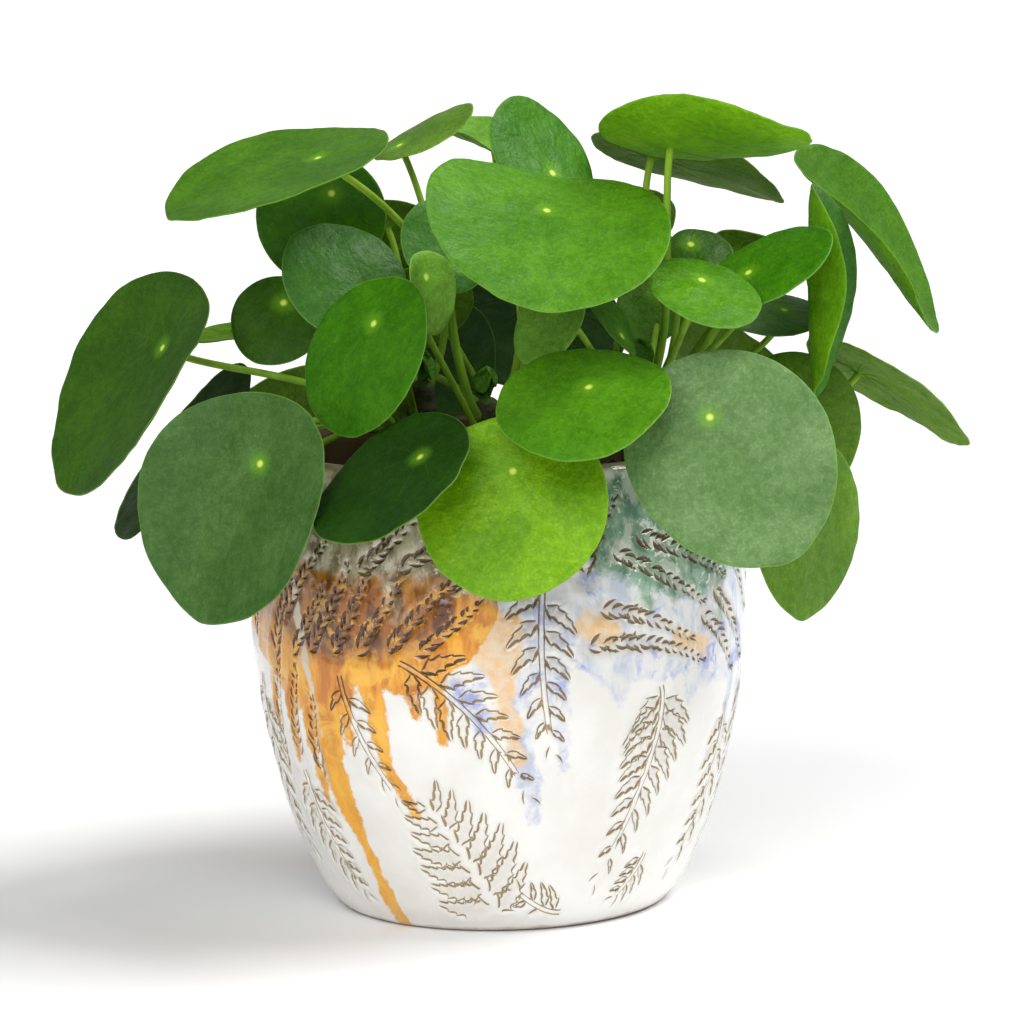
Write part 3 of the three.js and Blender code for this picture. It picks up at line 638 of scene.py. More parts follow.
# Dense ribs of small leaflets, from foot to tip: those of the solid, then the finer ones between them
RIBS = [
    ((-72, 96), (-61, 111), (-53, 127)), ((-50, 97), (-42, 109), (-33, 121)),
    ((-29, 98), (-17, 107), (-6, 116)), ((-50, 125), (-38, 134), (-26, 146)),
    ((-92, 92), (-87, 108), (-80, 122)), ((-34, 126), (-22, 134), (-10, 143)),
    ((0, 124), (8, 134), (20, 145)), ((34, 112), (52, 108), (73, 98)),
    ((50, 136), (72, 127), (94, 117)), ((86, 114), (99, 102), (112, 86)),
    ((-98, 120), (-88, 134), (-78, 146)), ((-112, 96), (-107, 112), (-100, 128)),
    ((106, 136), (118, 126), (127, 112)),
    ((-60, 97), (-52, 110), (-44, 125)), ((-39, 98), (-29, 109), (-18, 121)),
    ((-84, 108), (-74, 122), (-64, 134)), ((-66, 134), (-55, 142), (-42, 149)),
    ((-18, 120), (-8, 128), (2, 140)), ((29, 100), (54, 99), (79, 90)),
    ((40, 131), (60, 121), (79, 110)), ((58, 147), (78, 140), (99, 129)),
    ((78, 106), (90, 97), (101, 84)), ((96, 130), (107, 118), (117, 103)),
    ((30, 122), (34, 135), (44, 147)), ((-122, 120), (-113, 134), (-102, 147)),
    ((112, 148), (122, 140), (131, 128)), ((-81, 94), (-72, 106), (-64, 118)),
    ((-99, 52), (-96, 72), (-90, 90)), ((-86, 58), (-84, 74), (-79, 90)), ((-73, 52), (-74, 66), (-71, 80)),
]


def wall_radius(z):
    """The pot's outer radius at a height, by a smooth curve through the outline's points."""
    heights, radii = np.array(POT_OUTLINE[1:], float).T
    slopes = np.gradient(radii, heights)
    i = np.clip(np.searchsorted(heights, z) - 1, 0, len(heights) - 2)
    step = heights[i + 1] - heights[i]
    t = np.clip((z - heights[i]) / step, 0, 1)
    start = radii[i] * (1 + 2 * t) * (1 - t) ** 2 + slopes[i] * step * t * (1 - t) ** 2
    return start + radii[i + 1] * t * t * (3 - 2 * t) + slopes[i + 1] * step * t * t * (t - 1)


def wall_profile(levels, inset=0.0):
    """The radius at some levels of the pot's wall, and the levels."""
    return [(float(wall_radius(level)) - inset, level) for level in levels]


class Carving:
    """Grooves (a middle line with half-widths) and the soft hollows of the pressed leaflets."""

    def __init__(self, seed):
        self.rng = np.random.default_rng(seed)
        self.grooves = []
        self.hollows = []

    def groove(self, points, half_widths, depth):
        self.grooves.append((np.asarray(points, float), half_widths, depth))

    def hollow(self, points, half_widths, depth):
        self.hollows.append((points, half_widths, depth))

    def jitter(self, spread):
        return 1 + spread * self.rng.uniform(-1, 1)


def curve2(stalk, t):
    """A curve from the first to the last place that bends towards the second one, and its direction."""
    a, b, c = (np.array(p, float) for p in stalk)
    t = np.atleast_1d(t)[:, None]
    point = a * (1 - t) * (1 - 2 * t) + b * 4 * t * (1 - t) + c * t * (2 * t - 1)
    heading = a * (4 * t - 3) + b * (4 - 8 * t) + c * (4 * t - 1)
    return point, heading / np.linalg.norm(heading, axis=1)[:, None]


def turn2(v, angle):
    c, s = math.cos(angle), math.sin(angle)
    return np.array([c * v[0] - s * v[1], s * v[0] + c * v[1]])


def leftward(along):
    """Directions a quarter turn to the left of the given ones."""
    return np.stack([-along[:, 1], along[:, 0]], 1)


def dash(carving, base, heading, length, curl, half_width, depth=1.0):
    """One short curved cut, broad near its foot and drawn out at its end."""
    bent = [base]
    for step in range(4):
        bent.append(bent[-1] + turn2(heading, curl * (step / 3)) * length / 4)
    share = np.array([0.25, 0.85, 1.0, 0.72, 0.16])
    carving.groove(bent, half_width * share, depth)


def rib(carving, stalk, length=5.0, spacing=3.4, lean=46):
    """A rib with a row of short cuts on each side, as dense fern fronds leave."""
    a, b, c = stalk
    total = np.linalg.norm(np.subtract(b, a)) + np.linalg.norm(np.subtract(c, b))
    count = max(3, int(total / spacing))
    for side in (1, -1):
        for k in range(count):
            t = (k + 0.5 + 0.25 * side + 0.22 * carving.rng.uniform(-1, 1)) / count
            (point,), (along,) = curve2(stalk, t)
            heading = turn2(along, side * math.radians(lean * carving.jitter(0.2)))
            reach = max(length * (1.1 - t**1.8) * carving.jitter(0.2), 1.8)
            half = 0.80 * carving.jitter(0.25) * (1.05 - 0.3 * t)
            dash(carving, point + heading * 0.7, heading, reach, -side * 0.8 * carving.jitter(0.5), half)
    line, along = curve2(stalk, np.linspace(0.03, 0.97, 14))
    carving.hollow(line, np.linspace(length * 0.85, length * 0.35, 14), 0.3)
    dash(carving, line[-1], along[-1], 3.4, 0.1, 0.5)


# A cut along one tooth: how far along the tooth, how far out from the leaflet's middle, and how wide
TOOTH_ALONG = np.array([0.0, 0.10, 0.32, 0.62, 0.90, 1.14])
TOOTH_OUT = np.array([1.18, 0.86, 0.80, 0.96, 1.16, 1.42])
TOOTH_WIDTH = np.array([0.2, 0.8, 1.0, 1.0, 0.75, 0.16])


def leaflet(carving, foot, heading, length, half_width, teeth, side, bold):
    """One toothed leaflet: a soft hollow with a chain of thin hooked cuts along both margins."""
    steps = [foot]
    for k in range(LEAFLET_STEPS):
        curl = -side * 0.5 * (k / (LEAFLET_STEPS - 1) - 0.35)
        steps.append(steps[-1] + turn2(heading, curl) * length / LEAFLET_STEPS)
    middle = np.array(steps)
    across = leftward(directions(middle))
    t = np.linspace(0, 1, LEAFLET_STEPS + 1)
    plain = half_width * np.clip(t / 0.2, 0.2, 1) ** 0.7 * np.clip((1 - t) / 0.7, 0, 1) ** 0.75
    carving.hollow(middle[1:-1], plain[1:-1] * 0.9, 0.5)

    def margin_point(share, hand, out):
        spot = np.stack([np.interp(share, t, middle[:, i]) for i in (0, 1)], -1)
        way = np.stack([np.interp(share, t, across[:, i]) for i in (0, 1)], -1)
        return spot + hand * way * (np.interp(share, t, plain) * out)[..., None]

    pace = 0.9 / teeth
    for hand in (-1, 1):
        strong = bold if hand == -side else 0.72 * bold
        for k in range(teeth):
            at = 0.03 + pace * (k + TOOTH_ALONG)
            widths = strong * carving.jitter(0.2) * TOOTH_WIDTH
            carving.groove(margin_point(at, hand, TOOTH_OUT * carving.jitter(0.08)), widths, 0.8)


def frond(carving, spec, place):
    """A stalk with toothed leaflets that shorten towards its tip."""
    stalk, reach, pairs = [place(p) for p in spec["stalk"]], spec["reach"], spec["pairs"]
    mirrored = -1 if place((1, 0))[0] < place((0, 0))[0] else 1
    lean, taper = spec.get("lean", FROND_LEAN), spec.get("taper", FROND_TAPER)
    bold = 0.58 if reach > 10 else 0.48
    for side in (-1, 1):
        for k in range(pairs):
            t = FROND_BARE + (0.97 - FROND_BARE) * (k + 0.5 + 0.2 * side) / pairs
            (point,), (along,) = curve2(stalk, t)
            length = reach * (1 - t) ** taper * min(1, 0.65 + 2.2 * t) + 2.4
            hand = side * mirrored
            heading = turn2(along, hand * math.radians(lean * (1.06 - 0.35 * t)))
            foot = point + heading * LEAFLET_ROOT
            length *= carving.jitter(0.06)
            if length > 5.5:
                teeth = int(np.clip(round(length / 4.0), 2, 6))
                leaflet(carving, foot, heading, length, LEAFLET_FULLNESS * length, teeth, hand, bold)
            else:
                dash(carving, foot, heading, length, -hand * 0.5, 0.42, 0.8)
    line, along = curve2(stalk, np.linspace(0, 0.82, 15))
    for offset in (-0.85, 0.85):
        carving.groove(line + offset * leftward(along), np.linspace(0.36, 0.16, 15), 0.55)


def draw_carving():
    carving = Carving(SEED)
    for place in (lambda p: (p[0], p[1]), lambda p: (0.5 * ROUND - p[0], p[1])):
        for spec in FRONDS:
            frond(carving, spec, place)
        for stalk in RIBS:
            rib(carving, [place(p) for p in stalk])
    return carving


def press(carving, s, z):
    """Soft relief in millimetres and how deep in a pressed leaflet a point is, from 0 to 1."""
    columns, rows = int(ROUND / PRESS_STEP), int(SHEET_TOP / PRESS_STEP)
    hollow = np.zeros((rows, columns), np.float32)
    rim = np.zeros((rows, columns), np.float32)
    for middle, half, depth in carving.hollows:
        margin = half.max() + 3.0
        left, low = middle.min(0) - margin
        right, high = middle.max(0) + margin
        i = np.arange(int(left / PRESS_STEP), int(right / PRESS_STEP) + 1)
        j = np.arange(max(int(low / PRESS_STEP), 0), min(int(high / PRESS_STEP) + 1, rows))
        gs, gz = np.meshgrid((i + 0.5) * PRESS_STEP, (j + 0.5) * PRESS_STEP)
        away = np.hypot(gs[..., None] - middle[:, 0], gz[..., None] - middle[:, 1])
        inside = np.max(half - away, axis=-1)
        window = np.ix_(j, i % columns)
        hollow[window] = np.maximum(hollow[window], depth * np.clip((inside + 0.3) / 1.6, 0, 1))
        rim[window] = np.maximum(rim[window], hill(inside + 1.2, 1.0))

    def sample(field):
        x = (s / PRESS_STEP - 0.5) % columns
        y = np.clip(z / PRESS_STEP - 0.5, 0, rows - 1.001)
        x0, y0 = x.astype(int) % columns, y.astype(int)
        x1 = (x0 + 1) % columns
        fx, fy = x - np.floor(x), y - y0
        low = field[y0, x0] * (1 - fx) + field[y0, x1] * fx
        high = field[y0 + 1, x0] * (1 - fx) + field[y0 + 1, x1] * fx
        return low * (1 - fy) + high * fy

    pressed = sample(hollow)
    return PRESSED_RIM * sample(rim) * (1 - 2 * pressed) - pressed, 2 * pressed


def wall_sheet(carving):
    """The carved wall as a flat sheet that starts at SEAM, split into triangles along every groove clear of
    its ends and edges.
    """
    columns = int(ROUND / GRID_STEP)
    rows = int((CARVED_TO - CARVED_FROM) / GRID_STEP)
    rng = np.random.default_rng(SEED + 5)
    taken = np.zeros((int(SHEET_TOP / TAKEN_STEP) + 2, int(ROUND / TAKEN_STEP) + 4), bool)
    points, kinds, depths, edges = [], [], [], []

    def add(p, kind="grid", depth=0.0):
        points.append((float(p[0]), float(p[1])))
        kinds.append(kind)
        depths.append(depth)
        return len(points) - 1

    for middle, half, depth in carving.grooves:
        s, z = (middle[:, 0] - SEAM) % ROUND, middle[:, 1]
        if s.max() - s.min() > 0.5 * ROUND or s.min() < SEAM_CLEAR or s.max() > ROUND - SEAM_CLEAR:
            continue
        if z.min() < CARVED_FROM + EDGE_CLEAR or z.max() > CARVED_TO - EDGE_CLEAR:
            continue
        line = np.stack([s, z], 1)
        along = directions(line)
        first = add(line[0] - along[0] * half[0], "lip", -0.4 * CUT_LIP)
        last = add(line[-1] + along[-1] * half[-1], "lip", -0.4 * CUT_LIP)
        before = (first, first, first)
        for p, across, width in zip(line, leftward(along), half):
            lip = -CUT_LIP * min(1, width / FULL_LIP)
            side = across * max(width, NARROWEST)
            now = (
                add(p - side, "lip", lip),
                add(p, "middle", depth * min(1, width / FULL_CUT)),
                add(p + side, "lip", lip),
            )
            edges += list(zip(before, now))
            before = now
            i, j = int(p[1] / TAKEN_STEP), int(p[0] / TAKEN_STEP)
            taken[max(i - 2, 0):i + 3, max(j - 2, 0):j + 3] = True
        edges += [(i, last) for i in before]
    for row in range(rows + 1):
        for column in range(columns + 1):
            s, z = ROUND * column / columns, CARVED_FROM + (CARVED_TO - CARVED_FROM) * row / rows
            if 0 < row < rows and 0 < column < columns:
                s, z = (s, z) + rng.uniform(-GRID_SHIFT, GRID_SHIFT, 2)
                if taken[int(z / TAKEN_STEP), int(s / TAKEN_STEP)]:
                    continue
            add((s, z))
    found, _, faces, origin, _, _ = delaunay_2d_cdt(points, edges, [], 0, 1e-5, True)
    flat = np.array([tuple(p) for p in found])
    # A point without a source is one where two cuts cross
    cut, stain, lip_line = np.full(len(flat), 0.3), np.full(len(flat), 0.5), np.zeros(len(flat))
    for k, sources in enumerate(origin):
        if sources:
            found_kinds = {kinds[i] for i in sources}
            cut[k] = max(depths[i] for i in sources)
            stain[k] = "middle" in found_kinds
            lip_line[k] = found_kinds == {"lip"}
    # Both ends of the sheet are the same line up the wall, so their points are shared
    left = {round(float(z), 4): k for k, (s, z) in enumerate(flat) if s < 1e-4}
    same = [left[round(float(z), 4)] if s > ROUND - 1e-4 else k for k, (s, z) in enumerate(flat)]
    faces = np.array(same)[np.array([f for f in faces if len(f) == 3])]
    return flat, faces, cut, stain, lip_line


def pot_mesh(carving):
    flat, faces, cut, stain, lip_line = wall_sheet(carving)
    s, z = (flat[:, 0] + SEAM) % ROUND, flat[:, 1]
    relief, pressed = press(carving, s, z)
    fade = np.clip((z - CARVED_FROM) / FADE, 0, 1) * np.clip((CARVED_TO - z) / FADE, 0, 1)
    angle = s / REFERENCE_RADIUS
    around = np.stack([60 + 25 * np.cos(angle), 60 + 25 * np.sin(angle), 80 + z / 3], 1)
    radius = wall_radius(z) + fade * (relief + HAND_TURNED * value_noise(around, 9.0, 3)) - cut
    shell = Shell(np.stack([radius * np.sin(angle), -radius * np.cos(angle), z], 1), faces)

    def edge_ring(height):
        """The sheet's points along its upper or lower edge, in order."""
        ring = np.flatnonzero((np.abs(z - height) < 1e-4) & (flat[:, 0] < ROUND - 1e-4))
        return ring[np.argsort(flat[ring, 0])]

    upper = edge_ring(CARVED_TO)
    ring_angle = (flat[upper, 0] + SEAM) / REFERENCE_RADIUS

    def rings(profile):
        east, south = np.sin(ring_angle), -np.cos(ring_angle)
        return [np.stack([r * east, r * south, np.full(len(upper), height)], 1) for r, height in profile]

    inside = wall_profile(INSIDE_LEVELS, POT_WALL)
    floor = [(inside[-1][0] - FLOOR_CORNER, POT_FLOOR)]
    over_lip = wall_profile(LEVELS_TO_LIP) + ROUND_LIP + inside + floor
    under_foot = wall_profile(LEVELS_TO_FOOT) + ROUND_FOOT
    shell.extend(upper, rings(over_lip), False, (0, 0, POT_FLOOR))
    shell.extend(edge_ring(CARVED_FROM), rings(under_foot), True, (0, 0, 0))
    points = shell.points
    x, y, height = points[len(s):].T
    none = np.zeros(len(x))
    s_all = np.append(s, (np.arctan2(x, -y) % TAU) * REFERENCE_RADIUS)
    # Points well within the wall, on the inside and the bottom, take a painted shade in the glaze
    inside_shade = np.hypot(x, y) < wall_radius(np.clip(height, 2, 155)) - 3.5
    marks = dict(
        stain=np.append(stain, none),
        lip=np.append(lip_line, none),
        pressed=np.append(pressed * fade, none),
        inside=np.append(np.zeros(len(s)), inside_shade),
        **glaze_fields(s_all, points[:, 2]),
    )
    return points, shell.faces, marks


def drip(s, z, path):
    """Distance inside a run of glaze along a path of places (s, z, half-width)."""
    best = np.full(len(s), -99.0)
    for (s1, z1, wide), (s2, z2, wide_next) in zip(path[:-1], path[1:]):
        ds, dz = s2 - s1, z2 - z1
        t = np.clip(((s - s1) * ds + (z - z1) * dz) / (ds * ds + dz * dz), 0, 1)
        away = np.hypot(s - s1 - t * ds, z - z1 - t * dz)
        best = np.maximum(best, wide + (wide_next - wide) * t - away)
    return best


def band(s, z, knots):
    """Distance inside a band whose edges run through knots (s, lower, upper)."""
    at, lower, upper = np.array(knots, float).T
    # Left and right of the knots the edges cross far over, so that nothing is inside there
    low = np.interp(s, at, lower, left=200, right=200)
    high = np.interp(s, at, upper, left=100, right=100)
    return np.minimum(z - low, high - z)


# Zones of the glaze on the front: bands of knots (s, lower, upper), and runs of places (s, z, half-width)
GLAZE_BANDS = dict(
    orange=[
        (-134, 99, 134), (-122, 104, 138), (-112, 96, 140), (-96, 86, 138), (-84, 78, 132), (-72, 80, 126),
        (-60, 78, 124), (-50, 88, 124), (-40, 86, 126), (-28, 84, 126), (-16, 92, 126), (-6, 101, 122),
        (0, 110, 118), (5, 150, 110),
    ],
    brown=[
        (-134, 112, 128), (-118, 106, 128), (-100, 106, 132), (-84, 102, 130), (-66, 95, 126),
        (-52, 97, 126), (-40, 97, 128), (-26, 102, 124), (-14, 108, 120), (-8, 150, 100),
    ],
    khaki=[
        (-134, 136, 175), (-122, 130, 175), (-110, 132, 175), (-70, 127, 175), (-50, 123, 175),
        (-34, 124, 175), (-20, 122, 175), (0, 116, 175), (16, 122, 175), (26, 165, 150),
    ],
    peach=[(-16, 150, 100), (-9, 98, 114), (0, 88, 116), (7, 92, 112), (12, 150, 100)],
    blue=[
        (-16, 150, 100), (-8, 90, 116), (2, 86, 120), (12, 88, 122), (22, 98, 122), (34, 88, 126),
        (50, 88, 124), (64, 86, 120), (80, 82, 122), (96, 80, 124), (112, 84, 128), (124, 88, 130),
        (134, 93, 126),
    ],
    green=[
        (26, 150, 130), (34, 124, 150), (48, 118, 156), (62, 115, 156), (78, 112, 150), (90, 113, 142),
        (104, 122, 140), (118, 124, 140), (134, 127, 139),
    ],
)
GLAZE_RUNS = dict(
    orange=[
        [(-64, 88, 8.5), (-66, 66, 7.0), (-64, 48, 5.0), (-58, 30, 2.6), (-53.5, 3, 4.0)],
        [(-55, 86, 4.0), (-56, 66, 1.6)], [(-74, 84, 4.0), (-76, 60, 2.4), (-73, 46, 1.2)],
        [(-46, 94, 5.4), (-43, 76, 4.0), (-41, 60, 1.8), (-32, 43, 2.3)],
        [(-20, 92, 3.0), (-19, 69, 1.5)], [(-84, 86, 4.0), (-87, 57, 1.4)],
        [(-96, 90, 3.4), (-98, 68, 1.2)], [(-30, 88, 3.0), (-28, 78, 1.6)],
    ],
    khaki=[[(-42, 130, 3.5), (-33, 112, 1.5)]],
    peach=[
        [(0, 98, 4.6), (4, 74, 3.2), (7, 62, 1.6)],
        [(30, 108, 4.5), (38, 104, 4.0)], [(66, 99, 3.4), (78, 96, 3.0)],
    ],
    blue=[
        [(5, 88, 5.0), (9, 60, 3.4), (12.5, 41, 1.6)],
        [(19, 92, 3.6), (22, 60, 1.4)], [(-14, 88, 3.6), (-6, 76, 3.0)], [(103, 84, 3.4), (102, 60, 1.4)],
        [(113, 88, 3.0), (114, 66, 1.2)], [(73, 86, 3.4), (73.5, 77, 1.8)], [(36, 92, 4.6), (42, 84, 3.4)],
    ],
    green=[[(50, 122, 4.0), (54, 110, 1.8)], [(88, 118, 3.5), (90, 104, 1.6)]],
    bare=[[(-79, 118, 1.5), (-76, 108, 2.0), (-71, 84, 1.4), (-69, 68, 0.8)]],
)


def glaze_fields(s, z):
    """How far inside each zone a point is, on the front and mirrored on the far side."""
    fields = {}
    front = (s + 0.5 * ROUND) % ROUND - 0.5 * ROUND
    far = (ROUND - s) % ROUND - 0.5 * ROUND
    for name in ("orange", "brown", "khaki", "peach", "blue", "green", "bare"):
        inside = [np.full(len(s), -30.0)]
        for side in (front, far):
            if name in GLAZE_BANDS:
                inside.append(band(side, z, GLAZE_BANDS[name]))
            inside += [drip(side, z, path) for path in GLAZE_RUNS.get(name, [])]
        fields["glaze_" + name] = np.clip(np.max(inside, axis=0), -30, 30)
    return fields


def glaze_material():
    m = Nodes("glaze")
    waver = m.math("SUBTRACT", m.noise(110, 4.0, 0.6), 0.5)
    tremor = m.math("SUBTRACT", m.noise(420, 3.0, 0.6), 0.5)
    sway = m.plus(m.times(waver, 10.0), m.times(tremor, 4.0))
    speck = m.noise(300, 4.0, 0.7)
    streak = m.noise(130, 4.0, 0.62, coords=m.stretched(1.0, 1.0, 0.3))
    bloom = m.noise(75, 4.0, 0.62, distort=0.8)
    flake = m.noise(210, 4.0, 0.7, distort=0.5)
    up = m.node("ShaderNodeSeparateXYZ", {0: m.coords}).outputs[2]

    def edge_of(name, sway_share):
        return m.plus(m.attribute("glaze_" + name), m.times(sway, sway_share))

    def lay(base, over, name, soft, sway_share, most):
        """A zone's colour laid on the rest, as far as its swaying edge."""
        return m.tint(base, over, edge_of(name, sway_share), -soft, soft, 0.0, most)

    colour = m.tint((0.76, 0.745, 0.70), (0.83, 0.82, 0.79), m.noise(45, 3.0, 0.55), 0.3, 0.7)
    colour = m.tint(colour, (0.58, 0.52, 0.40), speck, 0.66, 0.8, 0.0, 0.15)
    edge = edge_of("blue", 1.1)
    misty = m.tint((0.46, 0.51, 0.62), (0.70, 0.71, 0.72), streak, 0.4, 0.62)
    misty = m.tint(misty, (0.27, 0.33, 0.68), bloom, 0.51, 0.58, 0.0, 0.9)
    misty = m.tint(misty, (0.29, 0.35, 0.70), m.math("ABSOLUTE", edge), 0.2, 1.8, 0.6, 0.0)
    thin = m.ramp(m.noise(62, 5.0, 0.66, distort=0.7), 0.42, 0.56, 0.3, 0.95)
    colour = m.mix(m.times(m.ramp(edge, -2.0, 2.0), thin), colour, misty)
    peach = m.tint((0.80, 0.48, 0.20), (0.76, 0.60, 0.40), speck, 0.35, 0.65)
    colour = lay(colour, peach, "peach", 1.6, 1.0, 0.9)
    edge = edge_of("orange", 0.7)
    amber = m.tint((0.54, 0.165, 0.006), (0.84, 0.39, 0.022), streak, 0.38, 0.62)
    amber = m.tint(amber, (0.88, 0.49, 0.06), bloom, 0.5, 0.62, 0.0, 0.7)
    amber = m.tint(amber, (0.62, 0.27, 0.02), edge, 0.0, 1.6, 0.6, 0.0)
    amber = m.tint(amber, (0.80, 0.40, 0.04), up, 0.05, 0.09, 0.55, 0.0)
    colour = m.tint(colour, amber, edge, -0.8, 0.8)
    rust = m.tint((0.075, 0.020, 0.003), (0.31, 0.095, 0.008), streak, 0.40, 0.60)
    rust = m.tint(rust, (0.56, 0.22, 0.02), bloom, 0.54, 0.62, 0.0, 0.5)
    rust = m.tint(rust, (0.70, 0.42, 0.16), flake, 0.58, 0.64, 0.0, 0.4)
    colour = lay(colour, rust, "brown", 5.0, 1.2, 0.94)
    sand = m.tint((0.20, 0.14, 0.055), (0.60, 0.53, 0.37), streak, 0.38, 0.60)
    sand = m.tint(sand, (0.70, 0.64, 0.50), flake, 0.54, 0.62, 0.0, 0.8)
    colour = lay(colour, sand, "khaki", 4.0, 1.2, 0.94)
    jade = m.tint((0.035, 0.15, 0.08), (0.20, 0.36, 0.24), streak, 0.36, 0.62)
    jade = m.tint(jade, (0.55, 0.60, 0.50), bloom, 0.54, 0.66, 0.0, 0.6)
    jade = m.tint(jade, (0.66, 0.70, 0.62), flake, 0.56, 0.62, 0.0, 0.8)
    colour = lay(colour, jade, "green", 3.0, 1.2, 0.92)
    colour = lay(colour, (0.66, 0.58, 0.45), "bare", 0.5, 0.3, 1.0)

    # Painted shade in the pressed leaflets' hollows, glaze thinned on raised edges with a painted highlight
    # along them, and dark stain in the cuts
    hollow_shade = m.ramp(m.attribute("glaze_blue"), 0.0, 8.0, 0.2, 0.5)
    colour = m.mix(m.times(m.attribute("pressed"), hollow_shade), colour, (0.40, 0.31, 0.19))
    deep = m.ramp(m.attribute("glaze_orange"), -1.0, 3.0)
    # Raised lips: glaze thinned on the edges, and a painted highlight along them
    worn_and_highlight = m.times(m.ramp(m.attribute("lip"), 0.5, 1.0), m.ramp(flake, 0.5, 0.6, 0.0, 0.6))
    colour = m.mix(worn_and_highlight, colour, m.mix(deep, (0.80, 0.76, 0.66), (0.80, 0.40, 0.06)))
    for name, most in (("khaki", 0.8), ("green", 0.8), ("blue", 0.4)):
        deep = m.math("MAXIMUM", deep, m.ramp(m.attribute("glaze_" + name), -2.0, 3.0, 0.0, most))
    stain = m.plus(m.times(m.attribute("stain"), m.ramp(deep, 0.0, 1.0, 1.0, 2.0)), m.times(tremor, 0.2))
    inlay = m.mix(deep, (0.34, 0.235, 0.090), (0.070, 0.022, 0.005))
    colour = m.tint(colour, inlay, stain, 0.06, 0.34, 0.0, 0.95)

    # The brown lip, painted shade over the inside, and the bare ring at the foot
    level = m.plus(up, m.times(waver, 0.004))
    colour = m.tint(colour, (0.20, 0.12, 0.05), level, 0.1555, 0.1575, 0.0, 0.75)
    # Painted shade: a dark brown over the inside of the pot, where it lies in shadow
    colour = m.mix(m.attribute("inside"), colour, (0.17, 0.11, 0.06))
    colour = m.tint(colour, (0.45, 0.36, 0.26), level, 0.0002, 0.0022, 0.8, 0.0)
    rough = m.ramp(speck, 0.3, 0.75, 0.10, 0.24)
    normal = m.bump(m.plus(m.noise(160, 2.0, 0.5), m.times(speck, 0.3)), 0.0006, 0.5)
    return m.finish(Base_Color=colour, Roughness=rough, Normal=normal, Coat_Weight=0.35, Coat_Roughness=0.1)


def pot_piece():
    points, faces, marks = pot_mesh(draw_carving())
    place(add_object("pot_fine", points, faces, glaze_material(), marks), "pot", "glaze")


# The stems, each with its leaf scars and young leaves
STEM_SIDES = 28
STEM_RINGS = 90
YOUNG_RINGS = 9
YOUNG_SIDES = 10
YOUNG_SEED = 11


def stem_mesh(foot, top):
    """Points, faces and surface marks of one rounded stem."""
    height = np.linspace(STEM_FOOT, top + 1.2, STEM_RINGS)
    over = np.clip((height - (top - 2.2)) / 3.6, 0, 1)
    radius = np.interp(height - STEM_FOOT, *zip(*STEM_TAPER)) * np.sqrt(1 - 0.86 * over**2)
    since_scar = (height - SOIL_LEVEL - SCAR_HEIGHT) % SCAR_PITCH
    scar = hill(since_scar - SCAR_HEIGHT / 2, 0.9) * (height > SOIL_LEVEL) * (over < 0.1)
    spin = np.tile(np.arange(STEM_SIDES) * TAU / STEM_SIDES, STEM_RINGS)
    height, over, radius, scar = (np.repeat(values, STEM_SIDES) for values in (height, over, radius, scar))
    around = np.stack([5 * np.cos(spin) + foot[0], 5 * np.sin(spin) + foot[1], height * 0.6], 1) + 400
    slant = np.cos(spin - height * 0.7)
    bark = 0.16 * value_noise(around, 2.2, 5) + 0.2 * scar * (0.6 + 0.4 * slant)
    r = radius - 0.22 + np.where((height > SOIL_LEVEL + 1) & (over < 0.5), bark, 0.0)
    points = np.stack([foot[0] + r * np.cos(spin), foot[1] + r * np.sin(spin), height], 1)
    points = np.concatenate([points, [(*foot, STEM_FOOT), (*foot, top + 1.6)]])
    return points, tube_faces(STEM_RINGS, STEM_SIDES), np.append(scar, [0, 0]), np.append(over, [0, 1])


def young_leaf(foot, top, turn, order, seed):
    """One small folded leaf on top of a stem, with its stalk."""
    angle = math.radians(turn)
    out = np.array([math.sin(angle), -math.cos(angle), 0])
    base = np.array([*foot, top], float)
    hub = base + out * YOUNG_OUT + np.array([0, 0, YOUNG_UP + YOUNG_STEP * order])
    size = tuple(length - YOUNG_STEP * order for length in YOUNG_SIZE)
    spec = leaf(tuple(hub), (turn, YOUNG_LIFT, 180), size, YOUNG_FOLD, hub_at=YOUNG_HUB_AT)
    axes = leaf_axes(spec["facing"])
    blade, faces, _ = blade_mesh(spec, axes, 0.0, seed)
    end = hub - axes[0] * FINE_THICKNESS
    middle = base + np.array([0, 0, YOUNG_UP / 2])
    controls = (base, base + (middle - base) * 0.67, end + (middle - end) * 0.67, end)
    path = bezier(controls, np.linspace(0, 1, YOUNG_RINGS))
    return join(blade, faces, *tube(path, np.full(YOUNG_RINGS, YOUNG_PETIOLE), YOUNG_SIDES))


def stem_material():
    m = Nodes("stem_skin")
    young = m.attribute("young")
    rings = m.noise(420, 3.0, 0.6, coords=m.stretched(1.0, 1.0, 2.4))
    fine = m.noise(900, 3.0, 0.6)
    bark = m.tint((0.022, 0.022, 0.009), (0.070, 0.066, 0.026), rings, 0.35, 0.68)
    bark = m.mix(m.times(m.attribute("scar"), 0.6), bark, (0.12, 0.10, 0.05))
    bark = m.tint(bark, (0.06, 0.13, 0.015), m.attribute("top"), 0.0, 1.0, 0.0, 0.7)
    green = m.tint((0.045, 0.15, 0.004), (0.09, 0.25, 0.010), fine, 0.35, 0.7)
    colour = m.mix(young, bark, green)
    rough = m.mix(young, (0.7, 0.7, 0.7), (0.45, 0.45, 0.45))
    normal = m.bump(m.plus(m.times(rings, 0.7), m.times(fine, 0.4)), 0.0005, 0.7)
    return m.finish(Base_Color=colour, Roughness=rough, Normal=normal, Specular_IOR_Level=0.25)


